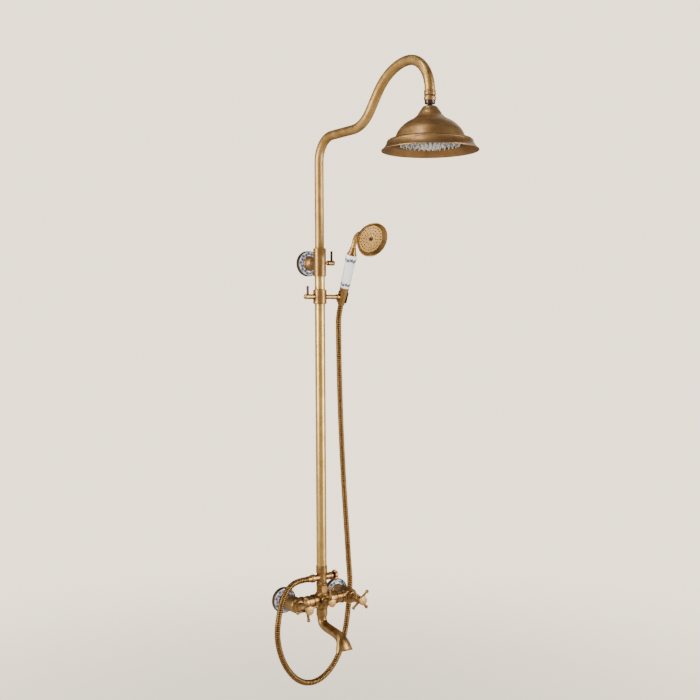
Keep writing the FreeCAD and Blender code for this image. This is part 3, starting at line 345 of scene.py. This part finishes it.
class Nodes:
    """A node tree, built up with short calls."""

    def __init__(self, tree):
        self.tree = tree
        tree.nodes.clear()

    def feed(self, socket, value):
        """A link from value where it is a socket, and otherwise value as the default."""
        if isinstance(value, bpy.types.NodeSocket):
            self.tree.links.new(value, socket)
        else:
            socket.default_value = value

    def add(self, kind, inputs, **fields):
        made = self.tree.nodes.new("ShaderNode" + kind)
        for field, value in fields.items():
            setattr(made, field, value)
        for key, value in inputs.items():
            self.feed(made.inputs[key], value)
        return made

    def math(self, operation, first, second=0.0):
        return self.add("Math", {0: first, 1: second}, operation=operation).outputs[0]

    def times(self, first, second):
        return self.math("MULTIPLY", first, second)

    def plus(self, first, second):
        return self.math("ADD", first, second)

    def minus(self, first, second):
        return self.math("SUBTRACT", first, second)

    def span(self, value, low, high, to_low=0.0, to_high=1.0):
        """Value from low..high to to_low..to_high, eased and clamped."""
        return self.add("MapRange", {
            "Value": value, "From Min": low, "From Max": high, "To Min": to_low, "To Max": to_high,
        }, interpolation_type="SMOOTHSTEP").outputs[0]

    def blend(self, share, first, second):
        """The first colour where share is 0 and the second where it is 1."""
        first, second = (
            colour if isinstance(colour, bpy.types.NodeSocket) else (*colour, 1)
            for colour in (first, second))
        return self.add("Mix", {0: share, 6: first, 7: second}, data_type="RGBA").outputs[2]

    def ramp(self, value, stops):
        """The colour at value, from two or more stops of (position, colour) in order."""
        made = self.add("ValToRGB", {0: value})
        points = made.color_ramp.elements
        for point, (position, colour) in zip(points, (stops[0], stops[-1])):
            point.position = position
            point.color = (*colour, 1)
        for position, colour in stops[1:-1]:
            points.new(position).color = (*colour, 1)
        return made.outputs[0]

    def vector(self, x, y, z):
        return self.add("CombineXYZ", {0: x, 1: y, 2: z}).outputs[0]

    def noise(self, place, scale, detail=3.0, roughness=0.55):
        return self.add("TexNoise", {
            "Vector": place, "Scale": scale, "Detail": detail, "Roughness": roughness,
        }).outputs[0]

    def parts(self, vector):
        return self.add("SeparateXYZ", {0: vector}).outputs[:]

    def vectors(self, operation, first, second):
        """The outputs of one vector operation."""
        return self.add("VectorMath", {0: first, 1: second}, operation=operation).outputs

    def dot(self, vector, direction):
        return self.vectors("DOT_PRODUCT", vector, direction)["Value"]


class Finish(Nodes):
    """A material made of one Principled shader and the nodes that feed it."""

    def __init__(self, name):
        self.material = bpy.data.materials.new(name)
        self.material.use_nodes = True
        super().__init__(self.material.node_tree)
        self.shader = self.add("BsdfPrincipled", {})
        self.add("OutputMaterial", {"Surface": self.shader.outputs[0]})

    def set(self, **sockets):
        for name, value in sockets.items():
            self.feed(self.shader.inputs[name.replace("_", " ")], value)

    def place(self):
        return self.add("TexCoord", {}).outputs["Object"]

    def folded_place(self, fold):
        """Position with the parts at X = -fold, 0 and fold laid over one another."""
        x, y, z = self.parts(self.place())
        half = fold / 2
        inner = self.math("ABSOLUTE", self.minus(self.math("ABSOLUTE", x), half))
        return self.vector(self.minus(inner, half), y, z)

    def round_space(self, place, origin, axis):
        """Unit direction, radius, height and angle of each point about a piece's own axis."""
        side = axis.orthogonal().normalized()
        other = axis.cross(side)
        offset = self.vectors("SUBTRACT", place, origin)[0]
        x = self.dot(offset, side)
        y = self.dot(offset, other)
        radius = self.math("SQRT", self.plus(self.times(x, x), self.times(y, y)))
        safe = self.math("MAXIMUM", radius, 0.0001)
        return (self.math("DIVIDE", x, safe), self.math("DIVIDE", y, safe), radius,
                self.dot(offset, axis), self.math("ARCTAN2", y, x))

    def bump(self, height, strength, distance=0.0003):
        return self.add("Bump", {
            "Height": height, "Strength": strength, "Distance": distance,
        }).outputs[0]

    def edges(self, radius):
        """1 where the surface turns sharply outward or inward, and 0 on open faces."""
        rounded = self.add("Bevel", {"Radius": radius}, samples=4).outputs[0]
        normal = self.add("NewGeometry", {}).outputs["Normal"]
        return self.span(self.dot(rounded, normal), 0.999, 0.90)

    def shelter(self, distance):
        """1 deep in a corner and 0 on open faces."""
        seen = self.add("AmbientOcclusion", {"Distance": distance}, samples=6).outputs["AO"]
        return self.span(seen, 0.95, 0.40)


# Each tone: the tarnish in the corners, the shaded, middle and bright metal, and the roughness
# of its glossiest and its dullest places.
Tone = namedtuple("Tone", "tarnish shaded mid bright glossy dull")
TONES = {
    "gold": Tone(
        tarnish=(0.09, 0.04, 0.012), shaded=(0.43, 0.24, 0.060),
        mid=(0.65, 0.42, 0.130), bright=(0.84, 0.61, 0.25), glossy=0.26, dull=0.38),
    "satin": Tone(
        tarnish=(0.07, 0.03, 0.01), shaded=(0.32, 0.18, 0.055),
        mid=(0.50, 0.30, 0.100), bright=(0.68, 0.46, 0.18), glossy=0.38, dull=0.48),
    "aged": Tone(
        tarnish=(0.035, 0.013, 0.005), shaded=(0.15, 0.072, 0.024),
        mid=(0.35, 0.195, 0.065), bright=(0.64, 0.41, 0.165), glossy=0.28, dull=0.42),
    "brown": Tone(
        tarnish=(0.03, 0.013, 0.005), shaded=(0.18, 0.092, 0.034),
        mid=(0.33, 0.185, 0.074), bright=(0.52, 0.32, 0.14), glossy=0.40, dull=0.52),
    "red": Tone(
        tarnish=(0.04, 0.014, 0.008), shaded=(0.18, 0.07, 0.038),
        mid=(0.33, 0.15, 0.085), bright=(0.52, 0.28, 0.17), glossy=0.28, dull=0.42),
    "dark": Tone(
        tarnish=(0.008, 0.005, 0.004), shaded=(0.035, 0.022, 0.015),
        mid=(0.08, 0.052, 0.036), bright=(0.18, 0.125, 0.085), glossy=0.26, dull=0.42),
}

# Texture sizes of the brass, in cells per metre. The brushed lines are noise that is stretched
# along the axis (drawn) or round it (turned).
PATCHES = 26
MOTTLE = 240
CAST_GRAIN = 70
DRAWN_ROUND, DRAWN_ALONG = 19.8, 12
TURNED_ROUND, TURNED_ALONG = 0.35, 1500
WORN_EDGE = 0.9 * MM
TARNISH_REACH = 9 * MM


def brass(name, tone, grain, origin=COLUMN, axis=Z_AXIS, fold=0.0):
    """Aged brass: patches of patina, brushed lines along or round the axis, tarnish and wear."""
    tarnish, shaded, mid, bright, glossy, dull = TONES[tone]
    finish = Finish(name)
    place = finish.folded_place(fold) if fold else finish.place()
    patches = finish.noise(place, PATCHES, 4, 0.6)
    mottle = finish.noise(place, MOTTLE, 5, 0.62)
    if grain == "plain":
        lines = finish.noise(place, CAST_GRAIN, 4)
    else:
        east, north, radius, height, _ = finish.round_space(place, origin, axis)
        if grain == "drawn":
            around, steps = DRAWN_ROUND, finish.times(height, DRAWN_ALONG)
        else:
            around = TURNED_ROUND
            steps = finish.times(finish.plus(height, radius), TURNED_ALONG)
        across = finish.vector(finish.times(east, around), finish.times(north, around), steps)
        lines = finish.noise(across, 1.0, 5, 0.65)
    worn = finish.edges(WORN_EDGE)
    shelter = finish.shelter(TARNISH_REACH)
    shade = 0.5
    for texture, share in ((patches, 0.65), (mottle, 0.22), (lines, 0.5)):
        shade = finish.plus(shade, finish.times(finish.minus(texture, 0.5), share))
    metal = finish.ramp(shade, [(0.22, shaded), (0.50, mid), (0.80, bright)])
    metal = finish.blend(finish.times(shelter, 0.80), metal, tarnish)
    open_edge = finish.times(worn, finish.span(mottle, 0.35, 0.6))
    metal = finish.blend(finish.times(open_edge, 0.45), metal, bright)
    gloss = finish.plus(finish.times(lines, 0.6), finish.times(mottle, 0.4))
    gloss = finish.span(gloss, 0.35, 0.68, glossy, dull)
    gloss = finish.plus(gloss, finish.times(shelter, 0.18))
    relief = finish.plus(finish.times(lines, 0.85), finish.times(mottle, 0.15))
    finish.set(Base_Color=metal, Roughness=gloss, Metallic=1.0, Coat_Weight=0.12,
               Coat_Roughness=0.22, Normal=finish.bump(relief, 0.05))
    return finish.material


# Buds of the painted border: place in its repeat, height in the band and size.
BUDS = ((0.25, -0.38, 0.74), (0.75, 0.38, 0.74), (0.0, 0.72, 0.26), (0.5, -0.72, 0.26))
STEM_SWING = 0.42
BUD_SPREAD = 2.6


def scroll(finish, turns, height):
    """Painted border of a wavy stem with buds. Turns counts its repeats and height is -1..1."""
    wave = finish.times(finish.math("SINE", finish.times(turns, TURN)), STEM_SWING)
    painted = finish.span(finish.math("ABSOLUTE", finish.minus(height, wave)), 0.27, 0.15)
    for shift, rise, size in BUDS:
        sideways = finish.minus(finish.math("FRACT", finish.plus(turns, shift)), 0.5)
        sideways = finish.times(sideways, BUD_SPREAD)
        upright = finish.minus(height, rise)
        away = finish.math("SQRT", finish.plus(
            finish.times(sideways, sideways), finish.times(upright, upright)))
        painted = finish.math("MAXIMUM", painted, finish.span(away, size, size * 0.55))
    inside = finish.span(finish.math("ABSOLUTE", height), 1.05, 0.98)
    return finish.times(painted, inside)


GLAZE = ((0.90, 0.90, 0.94), (0.97, 0.97, 0.98))
INK = ((0.008, 0.015, 0.06), (0.05, 0.07, 0.18))
# Grey that the glaze is darkened towards in its corners: painted shade.
GLAZE_PAINTED_SHADE = (0.42, 0.38, 0.34)


def porcelain(name, origin, axis, bands, repeats, fold=0.0, by_radius=True):
    """White glaze with painted shade in its corners and a narrow blue scroll in each band of
    (middle, half height) in mm.
    """
    finish = Finish(name)
    place = finish.folded_place(fold) if fold else finish.place()
    _, _, radius, height, angle = finish.round_space(place, origin, axis)
    turns = finish.times(angle, repeats / TURN)
    level = radius if by_radius else height
    painted = None
    for centre, half in bands:
        inside = finish.times(finish.minus(level, centre * MM), 1 / (half * MM))
        mark = scroll(finish, turns, inside)
        painted = mark if painted is None else finish.math("MAXIMUM", painted, mark)
    brush = finish.noise(place, 1100, 3)
    strokes = finish.times(painted, finish.span(brush, 0.28, 0.46, 0.65, 1.0))
    cloud = finish.noise(place, 60, 3)
    ink = finish.blend(brush, *INK)
    # Painted shade: the glaze is darkened in its corners.
    shade = finish.times(finish.shelter(4 * MM), 0.35)
    glaze = finish.blend(shade, finish.blend(cloud, *GLAZE), GLAZE_PAINTED_SHADE)
    dimple = finish.times(finish.noise(place, 130, 2), 0.7)
    dimple = finish.plus(dimple, finish.times(strokes, 0.12))
    finish.set(Base_Color=finish.blend(strokes, glaze, ink),
               Roughness=finish.span(cloud, 0.3, 0.7, 0.10, 0.19),
               Coat_Weight=0.6, Coat_Roughness=0.05, Subsurface_Weight=0.08,
               Subsurface_Radius=(0.004, 0.003, 0.003), Normal=finish.bump(dimple, 0.05))
    return finish.material


def scaled(colour, share):
    return tuple(share * part for part in colour)


def silicone(name, light, dark, speck_scale, pale_below=None):
    """Soft translucent rubber with mineral specks and with painted shade in the corners between
    the nozzles, paler towards the tips that hang below the height pale_below."""
    finish = Finish(name)
    place = finish.place()
    cloud = finish.noise(place, 160, 4)
    specks = finish.span(finish.noise(place, speck_scale, 2), 0.60, 0.70)
    shelter = finish.shelter(4 * MM)
    colour = finish.blend(cloud, light, scaled(light, 0.82))
    if pale_below:
        hanging = finish.span(finish.parts(place)[2], pale_below, pale_below - 6 * MM)
        colour = finish.blend(hanging, scaled(light, 0.38), colour)
        specks = finish.times(specks, finish.minus(1.0, hanging))
    colour = finish.blend(finish.times(specks, 0.7), colour, dark)
    # Painted shade: the rubber is darkened in the corners between the nozzles.
    colour = finish.blend(finish.times(shelter, 0.75), colour, dark)
    finish.set(Base_Color=colour, Roughness=finish.span(cloud, 0.3, 0.7, 0.30, 0.48),
               Subsurface_Weight=0.2, Subsurface_Radius=(0.003, 0.0025, 0.002),
               Normal=finish.bump(finish.noise(place, 500, 3), 0.12))
    return finish.material


def plastic(name, colour):
    """Moulded acetal of the hidden bearing rings, with a fine spark texture."""
    finish = Finish(name)
    place = finish.place()
    grain = finish.noise(place, 1400, 3)
    finish.set(Base_Color=finish.blend(grain, colour, scaled(colour, 0.86)),
               Roughness=finish.span(grain, 0.3, 0.7, 0.38, 0.55), Normal=finish.bump(grain, 0.2))
    return finish.material


HOSE_PATCH = (0.30, 0.16, 0.06)
# Colour of the strip by its height across a rib: near-black tarnish and painted shade in the
# grooves, gold on the crests.
HOSE_TARNISH_AND_SHADE = (
    (0.52, (0.010, 0.004, 0.0015)),
    (0.88, (0.15, 0.066, 0.020)),
    (1.0, (0.50, 0.30, 0.105)),
)


def hose_metal():
    """Wound brass strip: gold on the crests, and brown tarnish with painted shade in the grooves.
    """
    finish = Finish("hose_wound_brass")
    place = finish.place()
    crest = finish.add("Attribute", {}, attribute_name="crest").outputs["Fac"]
    along = finish.add("Attribute", {}, attribute_name="along").outputs["Fac"]
    patches = finish.noise(finish.vector(finish.times(along, 40), 0.0, 0.0), 1.0, 3)
    mottle = finish.noise(place, 420, 4)
    height = finish.plus(crest, finish.times(finish.minus(mottle, 0.5), 0.5))
    # Painted shade and tarnish: dark in the grooves and gold on the crests.
    metal = finish.ramp(height, HOSE_TARNISH_AND_SHADE)
    metal = finish.blend(finish.span(patches, 0.3, 0.7, 0.0, 0.35), metal, HOSE_PATCH)
    finish.set(Base_Color=metal, Metallic=1.0,
               Roughness=finish.span(mottle, 0.35, 0.65, 0.24, 0.40),
               Normal=finish.bump(mottle, 0.15))
    return finish.material


def paint(material, *names):
    """Puts the material in every slot of the named CAD nodes or pieces of this scene."""
    for name in names:
        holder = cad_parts.get(name) or bpy.data.objects[name]
        if not holder.material_slots:
            holder.data.materials.append(material)
        for place in holder.material_slots:
            place.link = "OBJECT"
            place.material = material


# ---------------------------------------------------------------- rain head

# Heights above the head's lip, in mm.
MAT_UNDER, MAT_OVER = 14.9, 16.4
NOZZLE_ROOT, NOZZLE_SHOULDER, TAPER_TOP = 15.6, 14.1, 15.2
LONG_TIP, MIDDLE_TIP, SHORT_TIP = 2.6, 5.5, 9.0

# Radii in mm.
MAT_RADIUS = 66
LONG_FOOT, SHORT_FOOT = 3.1, 2.5

# Rings of spray nozzles: ring radius in mm, count and height of the tips.
HEAD_RINGS = (
    (8, 6, LONG_TIP), (17, 11, LONG_TIP), (27, 17, MIDDLE_TIP),
    (38, 22, SHORT_TIP), (49, 28, SHORT_TIP), (60, 34, SHORT_TIP),
)


def make_rain_mat():
    """The soft mat with its raised rings and one hollow-tipped cone for each nozzle."""
    builder = bmesh.new()
    rim = [(0, MAT_OVER), (MAT_RADIUS - 0.4, MAT_OVER), (MAT_RADIUS, MAT_OVER - 0.4),
           (MAT_RADIUS, MAT_UNDER + 0.5), (MAT_RADIUS - 0.8, MAT_UNDER)]
    raised = [
        (radius + offset, MAT_UNDER - drop)
        for radius, _, _ in HEAD_RINGS
        for offset, drop in ((4.6, 0), (4.0, 0.1), (-4.0, 0.1), (-4.6, 0))
    ]
    raised.sort(reverse=True)
    spin(builder, HEAD, Z_AXIS, [*rim, *raised, (0, MAT_UNDER)], ROUND_SEGMENTS)
    for radius, count, tip in HEAD_RINGS:
        foot = LONG_FOOT if tip == LONG_TIP else SHORT_FOOT
        taper = TAPER_TOP - tip
        for index in range(count):
            angle = TURN * index / count
            lean = draw.uniform(-0.25, 0.25)
            spot = HEAD + Vector((math.cos(angle), math.sin(angle), 0)) * (radius + lean) * MM
            size = draw.uniform(0.94, 1.04)
            spin(builder, spot, Z_AXIS, [
                (0, NOZZLE_ROOT),
                (foot * size, NOZZLE_ROOT),
                (foot * size, NOZZLE_SHOULDER + 0.4),
                (foot * size - 0.35, NOZZLE_SHOULDER),
                (foot * 0.66, NOZZLE_SHOULDER - taper * 0.25),
                (foot * 0.46, NOZZLE_SHOULDER - taper * 0.55),
                (1.05, tip + 0.9),
                (0.92, tip + 0.25),
                (0.75, tip + 0.05),
                (0.45, tip + 0.05),
                (0.40, tip + 0.5),
                (0.36, tip + 1.6),
                (0, tip + 1.6),
            ], NOZZLE_SEGMENTS)
    mat = finished("rain_mat", builder)
    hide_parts("head_nozzles")
    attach(mat, "head")


# ---------------------------------------------------------------- hand shower face

FACE_PLATE = 61.0       # outer face of the drilled plate, along the face's own axis, in mm
TIP_RINGS = ((13, 10), (20, 16), (27, 24))      # ring radius in mm and count
PETALS = 8

# Rings of the scalloped washer: radius, height above the plate and depth of the petals, in mm.
WASHER_RINGS = ((0, 0.05, 0), (3.6, 0.05, 0), (4.3, 0.55, 0.25), (5.1, 0.5, 0.4), (5.4, -0.1, 0.4))

# The screw's dome, its skirt and the cross slot in it, in mm.
DOME_STEP = 0.12
DOME_STEPS = 30
DOME_HEIGHT = 1.75
DOME_FALL = 0.75
DOME_RADIUS = 3.5
SKIRT_RADIUS = 3.6
SLOT_WIDTH = 0.42
SLOT_REACH = 2.6
SLOT_DEPTH = 0.75


def face_spot(radius, angle):
    """A point in the middle plane of the face, from which heights run out of the face."""
    return FACE + (X_AXIS * math.cos(angle) + ALONG_HANDLE * math.sin(angle)) * radius * MM


def make_handset_tips():
    """Rubber spray tips in three rings, each with a hole through its crown."""
    builder = bmesh.new()
    for radius, count in TIP_RINGS:
        for index in range(count):
            spin(builder, face_spot(radius, TURN * index / count), OUT_OF_FACE, [
                (0, FACE_PLATE - 0.3),
                (1.25, FACE_PLATE - 0.3),
                (1.25, FACE_PLATE + 0.25),
                (1.05, FACE_PLATE + 0.45),
                (0.92, FACE_PLATE + 0.9),
                (0.75, FACE_PLATE + 1.05),
                (0.45, FACE_PLATE + 1.0),
                (0.38, FACE_PLATE + 0.4),
                (0, FACE_PLATE + 0.3),
            ], NOZZLE_SEGMENTS)
    tips = finished("handset_spray_tips", builder)
    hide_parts("handset_nozzles")
    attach(tips, "handset")


def make_face_screw():
    """Domed centre screw with a cross slot and a scalloped washer under it."""
    builder = bmesh.new()

    def face_ring(radius, shape):
        """Vertices round the face's axis, where shape gives the reach and height at an angle."""
        ring = []
        for step in range(ROUND_SEGMENTS if radius else 1):
            angle = TURN * step / ROUND_SEGMENTS
            reach, height = shape(angle)
            lift = OUT_OF_FACE * (FACE_PLATE + height) * MM
            ring.append(builder.verts.new(face_spot(reach, angle) + lift))
        return ring

    def dome(radius, angle):
        x, y = abs(radius * math.cos(angle)), abs(radius * math.sin(angle))
        slotted = min(x, y) < SLOT_WIDTH and radius < SLOT_REACH
        fall = DOME_FALL * (radius / DOME_RADIUS) ** 2
        return radius, DOME_HEIGHT - fall - (SLOT_DEPTH if slotted else 0)

    bridge(builder, [
        face_ring(radius, lambda angle: (radius + wave * math.cos(PETALS * angle), height))
        for radius, height, wave in WASHER_RINGS
    ], ROUND_SEGMENTS)
    radii = [DOME_STEP * step for step in range(DOME_STEPS)]
    rings = [face_ring(radius, lambda angle: dome(radius, angle)) for radius in radii]
    rings.append(face_ring(SKIRT_RADIUS, lambda angle: (SKIRT_RADIUS, 0.1)))
    bridge(builder, rings, ROUND_SEGMENTS)
    screw = finished("handset_centre_screw", builder)
    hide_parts("handset_face_screw")
    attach(screw, "handset")


make_rain_mat()
make_handset_tips()
make_face_screw()

# ---------------------------------------------------------------- finishes on every piece

WALL = Vector((0, 0, 0))
INLET = Vector((0, 0, MIXER.z))

# Each brass: its name, tone and grain, the origin and axis of its brushed lines, the distance
# between two like parts that are laid over one another, and the pieces that wear it.
FINISHES = (
    ("riser_brass", "gold", "drawn", COLUMN, Z_AXIS, 0, ("riser_tube", "telescope_piston")),
    ("arm_brass", "satin", "plain", COLUMN, Z_AXIS, 0, ("gooseneck_arm",)),
    ("collar_brass", "aged", "turned", COLUMN, Z_AXIS, 0,
     ("bracket_collar", "slider_collar", "tee_body", "tee_nut", "spout_nut")),
    ("bracket_brass", "brown", "turned", WALL, Y_AXIS, 0, ("bracket_base_plate", "bracket_stem")),
    ("bracket_rim_bronze", "dark", "turned", WALL, Y_AXIS, 0, ("bracket_rosette",)),
    ("lever_brass", "aged", "turned", COLUMN, X_AXIS, 0, ("bracket_lever",)),
    ("holder_brass", "aged", "turned", SLIDER, X_AXIS, 0, ("slider_lever", "slider_arm")),
    ("pin_bronze", "dark", "plain", COLUMN, Z_AXIS, 0, ("bracket_lever_pin", "slider_lever_pin")),
    ("handle_nut_brass", "aged", "turned", CRADLE, ALONG_HANDLE, 0,
     ("handset_cradle", "hose_handset_nut", "handset_lower_ferrule", "handset_upper_ferrule")),
    ("neck_brass", "gold", "plain", CRADLE, ALONG_HANDLE, 0, ("handset_neck",)),
    ("shell_brass", "aged", "turned", FACE, OUT_OF_FACE, 0, ("handset_shell",)),
    ("face_plate_brass", "satin", "turned", FACE, OUT_OF_FACE, 0, ("handset_face_plate",)),
    ("face_screw_bronze", "dark", "turned", FACE, OUT_OF_FACE, 0, ("handset_centre_screw",)),
    ("fitting_brass", "brown", "turned", HEAD, Z_AXIS, 0, ("arm_end_fitting", "swivel_housing")),
    ("swivel_bronze", "dark", "turned", HEAD, Z_AXIS, 0, ("swivel_nut", "swivel_ball")),
    ("bell_brass", "brown", "turned", HEAD, Z_AXIS, 0, ("head_bell",)),
    ("spray_plate_bronze", "dark", "turned", HEAD, Z_AXIS, 0, ("head_spray_plate",)),
    ("mixer_brass", "aged", "turned", MIXER, X_AXIS, 0, ("mixer_body",)),
    ("tee_side_brass", "aged", "turned", TEE_PORT, X_AXIS, 0,
     ("tee_bonnet", "tee_spindle", "hose_supply_nut")),
    ("tee_knob_brass", "red", "turned", TEE_PORT, X_AXIS, 0, ("tee_knob",)),
    ("inlet_brass", "aged", "turned", INLET, Y_AXIS, INLET_X,
     ("inlet_unions", "inlet_union_nuts", "valve_bonnets")),
    ("inlet_rim_bronze", "dark", "turned", INLET, Y_AXIS, INLET_X, ("inlet_rosettes",)),
    ("valve_brass", "brown", "turned", INLET, Y_AXIS, INLET_X,
     ("hot_spindle", "cold_spindle", "hot_handle", "cold_handle")),
    ("valve_cap_brass", "satin", "turned", INLET, Y_AXIS, INLET_X, ("hot_cap", "cold_cap")),
    ("diverter_brass", "aged", "turned", DIVERTER, Y_AXIS, 0,
     ("diverter_spindle", "diverter_lever")),
    ("diverter_cap_brass", "satin", "turned", DIVERTER, Y_AXIS, 0, ("diverter_cap",)),
    ("spout_brass", "aged", "plain", MIXER, Z_AXIS, 0, ("spout",)),
)

for name, tone, grain, origin, axis, fold, names in FINISHES:
    paint(brass(name, tone, grain, origin, axis, fold), *names)

RING_BANDS = ((23.0, 4.6),)
GRIP_BANDS = ((33.5, 4.6), (94.5, 5.2))

paint(porcelain("bracket_porcelain", WALL, Y_AXIS, RING_BANDS, 9), "bracket_porcelain_ring")
paint(porcelain("inlet_porcelain", INLET, Y_AXIS, RING_BANDS, 9, INLET_X), "inlet_porcelain_rings")
paint(porcelain("grip_porcelain", CRADLE, ALONG_HANDLE, GRIP_BANDS, 5, by_radius=False),
      "handset_grip")
paint(silicone("mat_silicone", light=(0.78, 0.75, 0.71), dark=(0.035, 0.035, 0.045),
               speck_scale=260, pale_below=HEAD.z + 14.5 * MM), "rain_mat")
paint(silicone("tip_silicone", light=(0.07, 0.045, 0.03), dark=(0.02, 0.012, 0.01),
               speck_scale=700), "handset_spray_tips")
paint(silicone("seal_rubber", light=(0.05, 0.05, 0.05), dark=(0.02, 0.02, 0.02),
               speck_scale=300), "telescope_seals", "sealing_washers")
paint(plastic("bearing_plastic", (0.10, 0.095, 0.09)),
      "swivel_seat_lower", "swivel_seat_upper", "slider_liner")
paint(hose_metal(), *(piece.name for piece in hose_pieces))

# ---------------------------------------------------------------- studio

SUBJECT = Vector((0, -0.2, -0.3))       # the place that every softbox faces
BACKDROP = (0.95, 0.80, 0.62, 1)
BACKDROP_LIGHT = 2.8
FLOOR_DROP = 0.25
FLOOR_RADIUS = 24
FLOOR_TINTS = ((0.80, 0.76, 0.71), (0.86, 0.82, 0.77))

# Shades of the air, from straight down at 0 to straight up at 1.
AIR_SHADES = (
    (0.20, (0.95, 0.85, 0.72)),
    (0.40, (0.84, 0.76, 0.66)),
    (0.54, (0.86, 0.80, 0.72)),
    (0.68, (0.42, 0.395, 0.36)),
    (0.85, (0.24, 0.225, 0.20)),
)


def softbox(name, bearing, rise, distance, width, height, power, tint):
    """A soft panel that faces the column. Bearing is degrees to the right of the camera's side."""
    around, up = math.radians(bearing), math.radians(rise)
    level = TO_CAMERA * math.cos(around) + RIGHT_OF_CAMERA * math.sin(around)
    direction = level * math.cos(up) + Z_AXIS * math.sin(up)
    data = bpy.data.lights.new(name, "AREA")
    data.shape = "RECTANGLE"
    data.size = width
    data.size_y = height
    data.energy = power
    data.color = tint
    lamp = bpy.data.objects.new(name, data)
    bpy.context.collection.objects.link(lamp)
    lamp.location = SUBJECT + direction * distance
    lamp.rotation_mode = "QUATERNION"
    lamp.rotation_quaternion = direction.to_track_quat("Z", "Y")
    return lamp


softbox("key_panel", -60, 16, 2.8, 1.0, 2.4, 96, (1.0, 0.97, 0.92))
softbox("side_panel", 70, 6, 2.8, 0.9, 2.4, 80, (1.0, 0.96, 0.90))
softbox("top_panel", -40, 62, 3.0, 0.6, 0.6, 22, (1.0, 0.98, 0.95))
fill_panel = softbox("fill_panel", -8, 8, 3.0, 2.0, 2.4, 70, (1.0, 0.98, 0.96))
fill_panel.visible_glossy = False
softbox("back_panel", 150, 40, 3.2, 0.9, 2.0, 8, (1.0, 0.97, 0.93))


def make_world():
    """Pale studio air: brightest low down, dark overhead, and dimmer in front and behind. The
    camera sees the even backdrop instead."""
    world = bpy.data.worlds.new("studio")
    bpy.context.scene.world = world
    world.use_nodes = True
    sky = Nodes(world.node_tree)
    place = sky.add("TexCoord", {}).outputs["Generated"]
    level = sky.add("MapRange", {"Value": sky.parts(place)[2], "From Min": -1.0}).outputs[0]
    facing = sky.dot(place, TO_CAMERA)
    front = sky.span(facing, 0.55, 0.97, 1.0, 0.85)
    behind = sky.span(facing, -0.35, -0.85, 1.0, 0.30)
    dimmed = sky.add("VectorMath", {
        0: sky.ramp(level, AIR_SHADES), "Scale": sky.times(front, behind),
    }, operation="SCALE").outputs[0]
    air = sky.add("Background", {"Color": dimmed, "Strength": 1.0}).outputs[0]
    backdrop = sky.add("Background", {"Color": BACKDROP, "Strength": BACKDROP_LIGHT}).outputs[0]
    seen = sky.add("LightPath", {}).outputs["Is Camera Ray"]
    both = sky.add("MixShader", {0: seen, 1: air, 2: backdrop}).outputs[0]
    sky.add("OutputWorld", {"Surface": both})


make_world()


def make_floor():
    """Plain pale floor below the hose's loop, which fades into the backdrop's light far away."""
    builder = bmesh.new()
    bmesh.ops.create_circle(builder, cap_ends=True, radius=FLOOR_RADIUS, segments=ROUND_SEGMENTS)
    for vertex in builder.verts:
        vertex.co.z = CAD_LOW.z - FLOOR_DROP
    floor = finished("studio_floor", builder)
    finish = Finish("pale_floor")
    place = finish.place()
    cloud = finish.noise(place, 1.6, 4)
    grit = finish.noise(place, 90, 3)
    x, y, _ = finish.parts(place)
    away = finish.math("SQRT", finish.plus(finish.times(x, x), finish.times(y, y)))
    fade = finish.span(away, 0.2, 2.4, 0.35, 1.0)
    ground = finish.blend(cloud, *FLOOR_TINTS)
    finish.set(Base_Color=finish.blend(fade, ground, (0.0, 0.0, 0.0)),
               Roughness=finish.span(grit, 0.3, 0.7, 0.6, 0.75),
               Normal=finish.bump(grit, 0.05), Specular_IOR_Level=0.0,
               Emission_Color=BACKDROP, Emission_Strength=finish.times(fade, BACKDROP_LIGHT))
    floor.data.materials.append(finish.material)
    floor.visible_glossy = False
    floor.visible_diffuse = False


make_floor()
